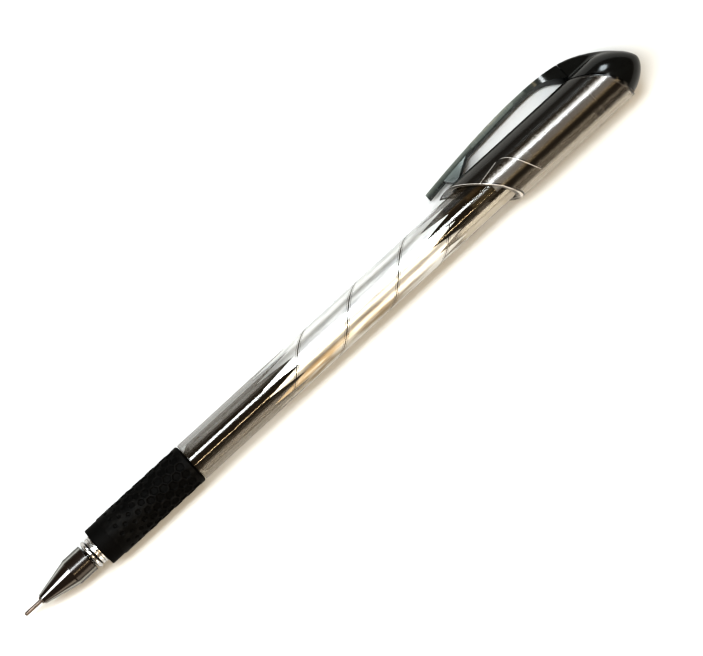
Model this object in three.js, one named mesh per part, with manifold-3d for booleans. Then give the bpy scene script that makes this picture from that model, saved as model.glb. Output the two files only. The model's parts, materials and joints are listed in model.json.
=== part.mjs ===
// A ballpoint pen lying on a table with its cap posted on the rear end.
// Sizes are in millimetres. Each piece is drawn along +X, which runs from the writing
// ball towards the cap, with the clip on the +Y side, and the finished pen is then laid
// on the plane Z = 0.

import * as THREE from 'three';
import { mergeGeometries, mergeVertices } from 'three/addons/utils/BufferGeometryUtils.js';
import Module from 'manifold-3d';

const wasm = await Module();
wasm.setup();

// Clearances
const FIT = 0.12; // radial play between large pieces that slide or press together
const FINE_FIT = 0.05; // radial play inside the writing tip
const FACE_GAP = 0.15; // gap between faces that meet end to end
const SEAM_GAP = 0.3; // gap along the slanted seam of the cap, measured along the axis

// Writing tip
const BALL_RADIUS = 0.25;
const BALL_SHOW = 0.1; // how far the ball stands out of its lip
const BALL_PLAY = 0.03;
const LIP_WALL = 0.07;
const NEEDLE_RADIUS = 0.4;
const NEEDLE_TAPER = 0.35;
const NEEDLE_REACH = 4.16; // from the ball's front to the holder's collar
const NEEDLE_SET = 3; // length of needle held inside the holder
const NEEDLE_BORE = 0.13;

// Tip holder, pushed into the ink tube
const HOLDER_NECK_RADIUS = 0.785;
const HOLDER_NECK_SHOW = 0.39; // length of neck that stands out of the nose
const HOLDER_EDGE = 0.1;
const HOLDER_CHANNEL = 0.35;
const HOLDER_REST = 0.7; // straight part behind the cone
const HOLDER_SPIGOT_LENGTH = 4;

// Ink tube and what it holds
const TUBE_RADIUS = 1.5;
const TUBE_WALL = 0.4;
const TUBE_LENGTH = 124;
const TUBE_EMPTY = 9.9; // empty length behind the grease
const INK_PLAY = 0.08;
const GREASE_LENGTH = 6;

// Nose cone
const NOSE_FRONT_RADIUS = 1.08;
const NOSE_SHOULDER_RADIUS = 2.88;
const NOSE_BAND_RADIUS = 2.95;
const NOSE_CONE_LENGTH = 7.75;
const NOSE_BAND_LENGTH = 4.3;
const NOSE_STEP = 0.16;
const NOSE_WALL = 0.62;
const NOSE_EDGE = 0.1;
const NOSE_GAP = 0.4; // open groove between the nose and the bead ring

// Bead ring and collar in front of the grip
const BEAD_RING_RADIUS = 3.18;
const BEAD_RING_LENGTH = 1.05;
const COLLAR_RADIUS = 3.04;
const COLLAR_LENGTH = 1.15;
const COLLAR_EDGE = 0.12;

// Barrel
const SPIGOT_RADIUS = 2.12;
const SPIGOT_REACH = 4.7; // length of spigot inside the nose
const SPIGOT_BORE = 1.68;
const CORE_RADIUS = 3.1; // under the grip
const CORE_WALL = 0.8;
const BARREL_RADIUS = 4.31;
const BARREL_WALL = 1;
const BARREL_LENGTH = 104.4; // the part that shows behind the grip, to its rear end
const BARREL_EDGE = 0.15;
const BORE_TAPER = 1.5;

// Rubber grip with its honeycomb of pockets
const GRIP_RADIUS = 4.39;
const GRIP_FRONT_RADIUS = 4.26;
const GRIP_FRONT_BAND = 3.1;
const GRIP_LENGTH = 24.52;
const GRIP_EDGE = 0.12;
const GRIP_REAR_ROUND = 0.5;
const CELLS_AROUND = 14;
const CELL_COLUMNS = 11;
const FULL_COLUMNS = 7; // rear columns at full size, the rest shrink towards the front
const CELL_RIB = 0.4;
const CELL_DEPTH = 0.28;
const CELL_MARGIN = 2.1; // from the rear end of the grip to the last column
const SMALLEST_CELL = 0.5; // share of the full size that the front column keeps

// End plug
const PLUG_SET = 4;
const PLUG_FLANGE_RADIUS = 4.15;
const PLUG_FLANGE_LENGTH = 1.55;
const PLUG_WALL = 0.9;
const PLUG_FLOOR = 0.8;
const PLUG_EDGE = 0.35;
const VENT_RADIUS = 0.5;

// Cap: its own zero is where the plug of the posted pen stops against the liner
const CAP_RADIUS = 5.54;
const CAP_WALL = 0.92;
const TONGUE_REACH = 36; // from the stop forward to the tip of the mouth's tongue
const TONGUE_ROUND = 3.6; // axial length of the curved tip
const TONGUE_HEIGHT = 4.15; // height above the axis where the straight slant starts
const MOUTH_SLANT = 7.6; // axial length of the straight slant
const MOUTH_FOOT = 3.55; // depth below the axis where the slant turns
const MOUTH_HEEL = 1.6; // axial length of the turn on the far side
const SEAM_CREST = -3.1; // seam of the black head, at the clip side
const SEAM_SLANT = 5.85;
const SEAM_TURN = 0.75; // height above the axis where the seam starts to turn
const SEAM_HEEL = 3.7;
const HEAD_SHOULDER = 4.4; // where the head starts to close
const HEAD_LENGTH = 7.4;
const APEX_DROP = 0.4; // the head's tip lies this far below the axis
const HEAD_HOLD = 1.7; // the larger, the longer the head keeps its full size
const HEAD_BLUNT_TOP = 0.7; // the smaller, the blunter the head's end
const HEAD_BLUNT_BOTTOM = 0.6;
const HEAD_BLUNT_SIDE = 0.55;
const HEAD_END = 0.998; // share of the head's length where a small flat closes it
const LINER_BORE = 2.4;
const LINER_WALL = 0.7;
const LINER_LENGTH = 5.4;
const LINER_FLOOR = 0.7;
const SPIGOT_OVERLAP = 7; // how far the head's inner sleeve runs back

// Clip
const CLIP_FREE_END = -37.3; // axial place of the free end
const CLIP_CREST_AT = -12.5;
const CLIP_CREST = 10.37; // height of the back above the axis at the crest
const CLIP_FRONT_FALL = 2.5;
const CLIP_FRONT_CURVE = 1.5;
const CLIP_REAR_FALL = 3.77;
const CLIP_REAR_RUN = 17.5; // the back has fallen by the rear fall at this distance
const CLIP_REAR_CURVE = 3.3;
const CLIP_BACK_WIDTH = 3.2;
const CLIP_INNER_WIDTH = 1.5;
const CLIP_THICKNESS = 0.88;
const CLIP_CROWN = 0.22;
const CLIP_FLAT_FROM = -25.5; // the inner face is flat between these two places
const CLIP_FLAT_TO = -12;
const CLIP_ARCH_FROM = -8.6;
const CLIP_ROOT = -1.6;
const CLIP_ROOT_LIFT = 0.32; // gap between the root and the sleeve
const BEAD_FRONT = 4.5; // from the free end to the front of the bead
const BEAD_LENGTH = 6.8;
const BEAD_TIP_FROM = 1.3;
const BEAD_TIP_LENGTH = 1.2;
const BEAD_LIFT = 0.3; // gap between the bead and the sleeve at rest
const RIDGE_END = 10.4;
const RIDGE_END_WIDTH = 5.6;
const RIDGE_FILLET = 1.6;
const RIDGE_SQUARENESS = 12; // at the root, where the ridge takes up the clip's section
const RIDGE_END_SQUARENESS = 4;
const RIDGE_FACE = 0.02; // the ridge starts with a steep face of this length

// How finely round shapes are divided
const ROUND = 3 * CELLS_AROUND;
const SMALL_ROUND = 24;
const HEAD_POINTS = 36;
const HEAD_CROWDING = 0.75; // below 1, how closely the head's points crowd to its ridge
const GRIP_ROUND = 2 * CELLS_AROUND;

const NOSE_SLOPE = (NOSE_SHOULDER_RADIUS - NOSE_FRONT_RADIUS) / NOSE_CONE_LENGTH;
const NOSE_LENGTH = NOSE_CONE_LENGTH + NOSE_STEP + NOSE_BAND_LENGTH;
const NOSE_BORE = HOLDER_NECK_RADIUS + FIT;
const NOSE_SOCKET = SPIGOT_RADIUS + FIT;
const TUBE_BORE = TUBE_RADIUS - TUBE_WALL;
const BARREL_BORE = BARREL_RADIUS - BARREL_WALL;
const CAP_BORE = CAP_RADIUS - CAP_WALL;

// Places along the pen, from the ball's front
const NOSE_AT = NEEDLE_REACH + HOLDER_NECK_SHOW;
const BEAD_RING_AT = NOSE_AT + NOSE_LENGTH + NOSE_GAP;
const COLLAR_AT = BEAD_RING_AT + BEAD_RING_LENGTH + FACE_GAP;
const GRIP_AT = COLLAR_AT + COLLAR_LENGTH + FACE_GAP;
const SPIGOT_AT = NOSE_AT + NOSE_LENGTH - SPIGOT_REACH;
const STEP_AT = GRIP_AT + GRIP_LENGTH + FACE_GAP;
const BARREL_END = STEP_AT + BARREL_LENGTH;
const PLUG_AT = BARREL_END + FACE_GAP - PLUG_SET;
const CAP_AT = PLUG_AT + PLUG_SET + PLUG_FLANGE_LENGTH + 2 * FACE_GAP;

// Solids and meshes

// Evenly spaced numbers, both ends with them.
function spread(from, to, count) {
  return Array.from({ length: count + 1 }, (_, i) => from + ((to - from) * i) / count);
}

function solidOf(geometry) {
  const bare = geometry.clone();
  bare.deleteAttribute('normal');
  bare.deleteAttribute('uv');
  const merged = mergeVertices(bare, 1e-5);
  const kept = [];
  const corners = merged.index.array;
  for (let i = 0; i < corners.length; i += 3) {
    const [a, b, c] = [corners[i], corners[i + 1], corners[i + 2]];
    if (a !== b && b !== c && c !== a) kept.push(a, b, c);
  }
  const vertProperties = new Float32Array(merged.attributes.position.array);
  const triVerts = new Uint32Array(kept);
  return new wasm.Manifold(new wasm.Mesh({ numProp: 3, vertProperties, triVerts }));
}

function geometryOf(solid) {
  const { vertProperties, triVerts } = solid.getMesh();
  const geometry = new THREE.BufferGeometry();
  geometry.setAttribute('position', new THREE.BufferAttribute(vertProperties, 3));
  geometry.setIndex(new THREE.BufferAttribute(triVerts, 1));
  geometry.computeVertexNormals();
  return geometry;
}

// Turns a profile of [along, radius] pairs around the X axis. The outer wall is walked
// towards +X. A ring's profile is closed by repeating its first point.
function turned(profile, segments = ROUND) {
  const points = profile.map(([along, radius]) => new THREE.Vector2(radius, along));
  return new THREE.LatheGeometry(points, segments).rotateZ(-Math.PI / 2);
}

function turnedRing(profile, segments = ROUND) {
  return turned([...profile, profile[0]], segments);
}

// Joins rings of [x, y, z] points, all of the same count, and closes both ends. A ring
// runs from +Z by -Y to -Z, and the rings follow each other towards +X.
function lofted(rings) {
  const count = rings[0].length;
  const positions = rings.flat(2);
  const corners = [];
  for (let k = 0; k + 1 < rings.length; k += 1) {
    for (let i = 0; i < count; i += 1) {
      const a = k * count + i;
      const b = k * count + ((i + 1) % count);
      corners.push(a, b, a + count, b + count, a + count, b);
    }
  }
  for (const [k, turn] of [[0, -1], [rings.length - 1, 1]]) {
    const centre = positions.length / 3;
    for (let axis = 0; axis < 3; axis += 1) {
      const sum = rings[k].reduce((total, point) => total + point[axis], 0);
      positions.push(sum / count);
    }
    for (let i = 0; i < count; i += 1) {
      const a = k * count + i;
      const b = k * count + ((i + 1) % count);
      if (turn > 0) corners.push(centre, a, b);
      else corners.push(centre, b, a);
    }
  }
  const geometry = new THREE.BufferGeometry();
  geometry.setAttribute('position', new THREE.Float32BufferAttribute(positions, 3));
  geometry.setIndex(corners);
  geometry.computeVertexNormals();
  return geometry;
}

// A slab whose outline lies in the XY plane, centred on Z = 0.
function slab(shape, width, curveSegments = 8) {
  const settings = { depth: width, bevelEnabled: false, curveSegments };
  return new THREE.ExtrudeGeometry(shape, settings).translate(0, 0, -width / 2);
}

function piece(name, geometry, color, roughness, metalness, at = 0) {
  const material = new THREE.MeshStandardMaterial({ color, roughness, metalness });
  const mesh = new THREE.Mesh(geometry, material);
  mesh.name = name;
  mesh.position.x = at;
  return mesh;
}

// Writing tip

function writingBall() {
  const ball = new THREE.SphereGeometry(BALL_RADIUS, 16, 12);
  return piece('writing_ball', ball, 0xb8b8bc, 0.15, 1, BALL_RADIUS);
}

function needlePipe() {
  const lipBore = Math.sqrt(BALL_RADIUS ** 2 - (BALL_RADIUS - BALL_SHOW) ** 2) + BALL_PLAY;
  const socket = BALL_RADIUS + BALL_PLAY;
  const socketEnd = 2 * BALL_RADIUS + BALL_PLAY - BALL_SHOW;
  const length = NEEDLE_REACH - BALL_SHOW + NEEDLE_SET;
  const profile = [
    [0, lipBore + LIP_WALL],
    [NEEDLE_TAPER, NEEDLE_RADIUS],
    [length, NEEDLE_RADIUS],
    [length, NEEDLE_BORE],
    [socketEnd + BALL_PLAY, NEEDLE_BORE],
    [socketEnd, socket],
    [BALL_SHOW, socket],
    [0, lipBore],
  ];
  return piece('needle_pipe', turnedRing(profile, SMALL_ROUND), 0xb9a9a4, 0.3, 1, BALL_SHOW);
}

function tipHolder() {
  const neckLength = coneStart(HOLDER_NECK_RADIUS + FIT) + HOLDER_NECK_SHOW;
  const coneEnd = coneStart(TUBE_RADIUS + FIT) + HOLDER_NECK_SHOW;
  const spigotAt = coneEnd + HOLDER_REST;
  const end = spigotAt + HOLDER_SPIGOT_LENGTH;
  const profile = [
    [0, HOLDER_NECK_RADIUS - HOLDER_EDGE],
    [HOLDER_EDGE, HOLDER_NECK_RADIUS],
    [neckLength, HOLDER_NECK_RADIUS],
    [coneEnd, TUBE_RADIUS],
    [spigotAt, TUBE_RADIUS],
    [spigotAt, TUBE_BORE - FINE_FIT],
    [end, TUBE_BORE - FINE_FIT],
    [end, HOLDER_CHANNEL],
    [NEEDLE_SET + FINE_FIT, HOLDER_CHANNEL],
    [NEEDLE_SET + FINE_FIT, NEEDLE_RADIUS + FINE_FIT],
    [0, NEEDLE_RADIUS + FINE_FIT],
  ];
  return piece('tip_holder', turnedRing(profile, SMALL_ROUND), 0x8d8d90, 0.35, 1, NEEDLE_REACH);
}

// Distance from the nose's front to where its inner cone has the given radius.
function coneStart(radius) {
  return (radius + NOSE_WALL - NOSE_FRONT_RADIUS) / NOSE_SLOPE;
}

const TUBE_AT = NOSE_AT + coneStart(TUBE_RADIUS + FIT) + HOLDER_REST + FINE_FIT;
const INK_AT = TUBE_AT + HOLDER_SPIGOT_LENGTH + FINE_FIT;
const INK_LENGTH = TUBE_LENGTH - HOLDER_SPIGOT_LENGTH - GREASE_LENGTH - TUBE_EMPTY - 2 * FINE_FIT;
const GREASE_AT = INK_AT + INK_LENGTH + FINE_FIT;

function inkTube() {
  const profile = [
    [0, TUBE_RADIUS],
    [TUBE_LENGTH, TUBE_RADIUS],
    [TUBE_LENGTH, TUBE_BORE],
    [0, TUBE_BORE],
  ];
  return piece('ink_tube', turnedRing(profile, SMALL_ROUND), 0xd8dad6, 0.35, 0, TUBE_AT);
}

function rod(name, length, color, roughness, at) {
  const radius = TUBE_BORE - INK_PLAY;
  const profile = [
    [0, 0],
    [0, radius],
    [length, radius],
    [length, 0],
  ];
  return piece(name, turned(profile, SMALL_ROUND), color, roughness, 0, at);
}

// Nose, bead ring and collar

function noseCone() {
  const bandAt = NOSE_CONE_LENGTH + NOSE_STEP;
  const profile = [
    [0, NOSE_FRONT_RADIUS - NOSE_EDGE],
    [NOSE_EDGE, NOSE_FRONT_RADIUS + NOSE_EDGE * NOSE_SLOPE],
    [NOSE_CONE_LENGTH, NOSE_SHOULDER_RADIUS],
    [bandAt, NOSE_BAND_RADIUS],
    [NOSE_LENGTH - NOSE_EDGE, NOSE_BAND_RADIUS],
    [NOSE_LENGTH, NOSE_BAND_RADIUS - NOSE_EDGE],
    [NOSE_LENGTH, NOSE_SOCKET],
    [coneStart(NOSE_SOCKET), NOSE_SOCKET],
    [coneStart(NOSE_BORE), NOSE_BORE],
    [0, NOSE_BORE],
  ];
  return piece('nose_cone', turnedRing(profile), 0x17181a, 0.18, 0, NOSE_AT);
}

function beadRing() {
  const round = BEAD_RING_LENGTH / 2;
  const flank = BEAD_RING_RADIUS - round;
  const profile = [];
  for (const angle of spread(0, Math.PI, 8)) {
    profile.push([round - round * Math.cos(angle), flank + round * Math.sin(angle)]);
  }
  profile.push([BEAD_RING_LENGTH, SPIGOT_RADIUS + FIT]);
  profile.push([0, SPIGOT_RADIUS + FIT]);
  return piece('bead_ring', turnedRing(profile), 0xe4e6e8, 0.12, 1, BEAD_RING_AT);
}

function gripCollar() {
  const profile = [
    [0, COLLAR_RADIUS - COLLAR_EDGE],
    [COLLAR_EDGE, COLLAR_RADIUS],
    [COLLAR_LENGTH, COLLAR_RADIUS],
    [COLLAR_LENGTH, SPIGOT_RADIUS + FIT],
    [0, SPIGOT_RADIUS + FIT],
  ];
  return piece('grip_collar', turnedRing(profile), 0xdcdee0, 0.15, 1, COLLAR_AT);
}

// Barrel, plug and grip

function barrel() {
  const coreAt = GRIP_AT - SPIGOT_AT;
  const bodyAt = STEP_AT - SPIGOT_AT;
  const end = BARREL_END - SPIGOT_AT;
  const coreBore = CORE_RADIUS - CORE_WALL;
  const profile = [
    [0, SPIGOT_RADIUS - BARREL_EDGE],
    [BARREL_EDGE, SPIGOT_RADIUS],
    [coreAt, SPIGOT_RADIUS],
    [coreAt, CORE_RADIUS],
    [bodyAt, CORE_RADIUS],
    [bodyAt, BARREL_RADIUS - BARREL_EDGE],
    [bodyAt + BARREL_EDGE, BARREL_RADIUS],
    [end - BARREL_EDGE, BARREL_RADIUS],
    [end, BARREL_RADIUS - BARREL_EDGE],
    [end, BARREL_BORE],
    [bodyAt + BORE_TAPER, BARREL_BORE],
    [bodyAt, coreBore],
    [coreAt + BORE_TAPER, coreBore],
    [coreAt, SPIGOT_BORE],
    [0, SPIGOT_BORE],
  ];
  return piece('barrel', turnedRing(profile), 0x4e4a42, 0.1, 0, SPIGOT_AT);
}

// Hexagonal cutters, points along the pen, in staggered columns that shrink to the front.
function cellCutters() {
  const pitchAround = (2 * Math.PI * GRIP_RADIUS) / CELLS_AROUND;
  const cornerRadius = pitchAround / Math.sqrt(3);
  const columnPitch = 1.5 * cornerRadius;
  const fullRadius = cornerRadius - CELL_RIB / Math.sqrt(3);
  const cutters = [];
  for (let column = 0; column < CELL_COLUMNS; column += 1) {
    const late = Math.max(0, column - FULL_COLUMNS + 1);
    const fade = late / (CELL_COLUMNS - FULL_COLUMNS);
    const radius = fullRadius * (1 - fade * (1 - SMALLEST_CELL));
    const along = GRIP_LENGTH - CELL_MARGIN - column * columnPitch;
    for (let i = 0; i < CELLS_AROUND; i += 1) {
      const angle = ((i + (column % 2) / 2) / CELLS_AROUND) * 2 * Math.PI;
      const cutter = new THREE.CylinderGeometry(radius, radius, 1, 6);
      cutter.rotateY(Math.PI / 2).translate(along, GRIP_RADIUS, 0).rotateX(angle);
      cutters.push(cutter);
    }
  }
  return solidOf(mergeGeometries(cutters));
}

function rubberGrip() {
  const bore = CORE_RADIUS + FIT;
  const profile = [
    [0, GRIP_FRONT_RADIUS - GRIP_EDGE],
    [GRIP_EDGE, GRIP_FRONT_RADIUS],
    [GRIP_FRONT_BAND, GRIP_FRONT_RADIUS],
    [GRIP_FRONT_BAND + 2 * GRIP_EDGE, GRIP_RADIUS],
    [GRIP_LENGTH - GRIP_REAR_ROUND, GRIP_RADIUS],
    [GRIP_LENGTH - GRIP_REAR_ROUND / 3, GRIP_RADIUS - GRIP_REAR_ROUND / 3],
    [GRIP_LENGTH, GRIP_RADIUS - GRIP_REAR_ROUND],
    [GRIP_LENGTH, bore],
    [0, bore],
  ];
  const floor = GRIP_RADIUS - CELL_DEPTH;
  const core = turned([[0, 0], [0, floor], [GRIP_LENGTH, floor], [GRIP_LENGTH, 0]], GRIP_ROUND);
  const pockets = cellCutters().subtract(solidOf(core));
  const grip = solidOf(turnedRing(profile, GRIP_ROUND)).subtract(pockets);
  return piece('rubber_grip', geometryOf(grip), 0x151515, 0.8, 0, GRIP_AT);
}

function endPlug() {
  const insert = BARREL_BORE - FIT;
  const end = PLUG_SET + PLUG_FLANGE_LENGTH;
  const profile = [
    [0, insert - PLUG_EDGE],
    [PLUG_EDGE, insert],
    [PLUG_SET, insert],
    [PLUG_SET, PLUG_FLANGE_RADIUS],
    [end - PLUG_EDGE, PLUG_FLANGE_RADIUS],
    [end, PLUG_FLANGE_RADIUS - PLUG_EDGE],
    [end, VENT_RADIUS],
    [end - PLUG_FLOOR, VENT_RADIUS],
    [end - PLUG_FLOOR, insert - PLUG_WALL],
    [0, insert - PLUG_WALL],
  ];
  return piece('end_plug', turnedRing(profile), 0x101112, 0.35, 0, PLUG_AT);
}

// Cap

// Everything in front of the mouth's slanted edge.
function mouthCutter() {
  const out = 2 * CAP_RADIUS;
  const slantFrom = TONGUE_ROUND - TONGUE_REACH;
  const slantTo = slantFrom + MOUTH_SLANT;
  const shape = new THREE.Shape();
  shape.moveTo(-2 * TONGUE_REACH, out);
  shape.lineTo(-2 * TONGUE_REACH, -out);
  shape.lineTo(slantTo + MOUTH_HEEL, -out);
  shape.lineTo(slantTo + MOUTH_HEEL, -CAP_RADIUS);
  shape.quadraticCurveTo(slantTo + MOUTH_HEEL / 2, -CAP_RADIUS + MOUTH_HEEL / 2, slantTo, -MOUTH_FOOT);
  shape.lineTo(slantFrom, TONGUE_HEIGHT);
  shape.quadraticCurveTo(slantFrom - TONGUE_ROUND / 2, CAP_RADIUS, -TONGUE_REACH, CAP_RADIUS);
  shape.lineTo(-TONGUE_REACH, out);
  return solidOf(slab(shape, 2 * out));
}

// Everything in front of the seam between the sleeve and the black head.
function seamCutter(shift) {
  const out = 2 * CLIP_CREST;
  const turnAt = SEAM_CREST + SEAM_SLANT;
  const heelAt = turnAt + SEAM_HEEL;
  const shape = new THREE.Shape();
  shape.moveTo(-2 * TONGUE_REACH, out);
  shape.lineTo(-2 * TONGUE_REACH, -out);
  shape.lineTo(heelAt, -out);
  shape.lineTo(heelAt, -CAP_RADIUS);
  shape.quadraticCurveTo(heelAt, -CAP_RADIUS / 2, turnAt, SEAM_TURN);
  shape.lineTo(SEAM_CREST, CAP_RADIUS);
  shape.lineTo(SEAM_CREST, out);
  return solidOf(slab(shape, 2 * out).translate(shift, 0, 0));
}

function capSleeve() {
  const front = -TONGUE_REACH;
  const rear = SEAM_CREST + SEAM_SLANT + SEAM_HEEL + 1;
  const tube = turnedRing([
    [front, CAP_RADIUS],
    [rear, CAP_RADIUS],
    [rear, CAP_BORE],
    [front, CAP_BORE],
  ]);
  const sleeve = solidOf(tube).subtract(mouthCutter()).intersect(seamCutter(0));
  return piece('cap_sleeve', geometryOf(sleeve), 0x55524c, 0.1, 0);
}

// Height of the clip's back, and of the ridge that carries it over the head.
function backHeight(along) {
  const fromCrest = along - CLIP_CREST_AT;
  const frontRun = CLIP_CREST_AT - CLIP_FREE_END;
  if (fromCrest < 0) return CLIP_CREST - CLIP_FRONT_FALL * (-fromCrest / frontRun) ** CLIP_FRONT_CURVE;
  return CLIP_CREST - CLIP_REAR_FALL * (fromCrest / CLIP_REAR_RUN) ** CLIP_REAR_CURVE;
}

// Height of the clip's inner face: it follows the back, runs flat, then arches to the root.
function innerHeight(along) {
  const flatLow = backHeight(CLIP_FLAT_FROM) - CLIP_THICKNESS;
  const flatHigh = backHeight(CLIP_FLAT_TO) - CLIP_THICKNESS;
  const share = (along - CLIP_FLAT_FROM) / (CLIP_FLAT_TO - CLIP_FLAT_FROM);
  if (along <= CLIP_FLAT_FROM) return backHeight(along) - CLIP_THICKNESS;
  if (along <= CLIP_FLAT_TO) return flatLow + share * (flatHigh - flatLow);
  const arch = Math.max(0, (along - CLIP_ARCH_FROM) / (CLIP_ROOT - CLIP_ARCH_FROM));
  const rootFloor = CAP_RADIUS + CLIP_ROOT_LIFT;
  const level = backHeight(along) - CLIP_THICKNESS;
  return level - (backHeight(CLIP_ROOT) - CLIP_THICKNESS - rootFloor) * arch ** 2;
}

// A section of the clip or ridge: a flat inner face and a crowned back.
function clipRing(along, low, high, innerWidth, backWidth) {
  const ring = [[along, low, innerWidth / 2], [along, low, -innerWidth / 2]];
  const steps = 6;
  for (let i = 0; i <= steps; i += 1) {
    const side = (2 * i) / steps - 1;
    ring.push([along, high - CLIP_CROWN * side ** 2, (side * backWidth) / 2]);
  }
  return ring;
}

function capClip() {
  const places = [
    ...spread(CLIP_FREE_END, CLIP_FLAT_FROM, 4),
    ...spread(CLIP_FLAT_FROM, CLIP_FLAT_TO, 5).slice(1),
    ...spread(CLIP_FLAT_TO, CLIP_ARCH_FROM, 2).slice(1),
    ...spread(CLIP_ARCH_FROM, CLIP_ROOT, 8).slice(1),
  ];
  const rings = places.map((along) => {
    const rooted = Math.max(0, (along - CLIP_ARCH_FROM) / (CLIP_ROOT - CLIP_ARCH_FROM));
    const inner = CLIP_INNER_WIDTH + (CLIP_BACK_WIDTH - CLIP_INNER_WIDTH) * rooted;
    return clipRing(along, innerHeight(along), backHeight(along), inner, CLIP_BACK_WIDTH);
  });
  const bar = solidOf(lofted(rings));
  return piece('cap_clip', geometryOf(bar.add(clipBead())), 0x0e0f11, 0.16, 0);
}

// The wedge under the free end that grips a pocket.
function clipBead() {
  const front = CLIP_FREE_END + BEAD_FRONT;
  const rear = front + BEAD_LENGTH;
  const tip = CAP_RADIUS + BEAD_LIFT;
  const buried = CLIP_THICKNESS / 2;
  const shape = new THREE.Shape();
  shape.moveTo(front, innerHeight(front) + buried);
  shape.lineTo(front, innerHeight(front));
  shape.lineTo(front + BEAD_TIP_FROM, tip);
  shape.lineTo(front + BEAD_TIP_FROM + BEAD_TIP_LENGTH, tip);
  shape.lineTo(rear, innerHeight(rear));
  shape.lineTo(rear, innerHeight(rear) + buried);
  return solidOf(slab(shape, CLIP_INNER_WIDTH));
}

// The greater of two radii, with a fillet where they cross.
function blended(a, b, fillet) {
  const near = Math.max(0, 1 - Math.abs(a - b) / fillet);
  return Math.max(a, b) + (near ** 2 * fillet) / 4;
}

// One section of the head: an oval that closes to a low rounded beak, with the ridge that
// carries the clip's line over it. Points lie closest together on the ridge.
function headRing(along, ridged) {
  const closed = Math.max(0, (along - HEAD_SHOULDER) / HEAD_LENGTH);
  const open = 1 - closed ** HEAD_HOLD;
  const top = -APEX_DROP + (CAP_RADIUS + APEX_DROP) * open ** HEAD_BLUNT_TOP;
  const bottom = -APEX_DROP - (CAP_RADIUS - APEX_DROP) * open ** HEAD_BLUNT_BOTTOM;
  const half = CAP_RADIUS * open ** HEAD_BLUNT_SIDE;
  const middle = (top + bottom) / 2;
  const ridgeShare = Math.max(0, (along - CLIP_ROOT) / (RIDGE_END - CLIP_ROOT));
  const ridgeHalf = (CLIP_BACK_WIDTH + (RIDGE_END_WIDTH - CLIP_BACK_WIDTH) * ridgeShare) / 2;
  const ridgeTop = backHeight(along) - middle;
  const power = RIDGE_SQUARENESS + (RIDGE_END_SQUARENESS - RIDGE_SQUARENESS) * ridgeShare;
  const fillet = RIDGE_FILLET * (1 - ridgeShare ** 4);
  return spread(0, 1, HEAD_POINTS).slice(1).map((share) => {
    const turn = 2 * Math.PI * share;
    const angle = turn - HEAD_CROWDING * Math.sin(turn);
    const up = Math.abs(Math.cos(angle));
    const out = Math.abs(Math.sin(angle));
    const oval = 1 / Math.hypot(up / ((top - bottom) / 2), out / half);
    const bar = ((up / ridgeTop) ** power + (out / ridgeHalf) ** power) ** (-1 / power);
    const carries = ridged && Math.cos(angle) > 0;
    const radius = carries ? blended(oval, bar, fillet) : oval;
    return [along, middle + radius * Math.cos(angle), radius * Math.sin(angle)];
  });
}

function headShape() {
  const ridgeAt = CLIP_ROOT + SEAM_GAP;
  const rings = [headRing(SEAM_CREST - 1, false), headRing(ridgeAt, false)];
  for (const along of spread(ridgeAt + RIDGE_FACE, HEAD_SHOULDER, 5)) {
    rings.push(headRing(along, true));
  }
  const steps = 10;
  for (let i = 1; i < steps; i += 1) {
    const along = HEAD_SHOULDER + HEAD_LENGTH * Math.sin((i / steps) * (Math.PI / 2));
    rings.push(headRing(along, along < RIDGE_END));
  }
  rings.push(headRing(HEAD_SHOULDER + HEAD_END * HEAD_LENGTH, false));
  return solidOf(lofted(rings));
}

function capHead() {
  const linerPocket = LINER_BORE + LINER_WALL + FIT;
  const end = LINER_LENGTH + FACE_GAP;
  const hollow = turned([
    [2 * SEAM_CREST, 0],
    [2 * SEAM_CREST, CAP_BORE],
    [0, CAP_BORE],
    [0, linerPocket],
    [end, linerPocket],
    [end, 0],
  ]);
  const innerSleeve = turnedRing([
    [0, CAP_BORE - FIT],
    [SPIGOT_OVERLAP, CAP_BORE - FIT],
    [SPIGOT_OVERLAP, linerPocket],
    [0, linerPocket],
  ]);
  const shell = headShape().subtract(seamCutter(SEAM_GAP));
  const head = shell.subtract(solidOf(hollow)).add(solidOf(innerSleeve));
  return piece('cap_head', geometryOf(head), 0x0e0f11, 0.16, 0);
}

function capLiner() {
  const outer = LINER_BORE + LINER_WALL;
  const profile = [
    [0, outer],
    [LINER_LENGTH, outer],
    [LINER_LENGTH, 0],
    [LINER_LENGTH - LINER_FLOOR, 0],
    [LINER_LENGTH - LINER_FLOOR, LINER_BORE],
    [0, LINER_BORE],
  ];
  return piece('cap_liner', turnedRing(profile), 0xd9d6cf, 0.5, 0);
}

// The whole pen, then its place on the table

function penAlongAxis() {
  const pen = new THREE.Group();
  pen.add(writingBall(), needlePipe(), tipHolder(), inkTube());
  pen.add(rod('ink_column', INK_LENGTH, 0x08080a, 0.4, INK_AT));
  pen.add(rod('grease_follower', GREASE_LENGTH, 0xc9c08f, 0.3, GREASE_AT));
  pen.add(noseCone(), beadRing(), gripCollar(), rubberGrip(), barrel(), endPlug());
  const cap = new THREE.Group();
  cap.position.x = CAP_AT;
  cap.add(capSleeve(), capHead(), capLiner(), capClip());
  pen.add(cap);
  return pen;
}

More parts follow.
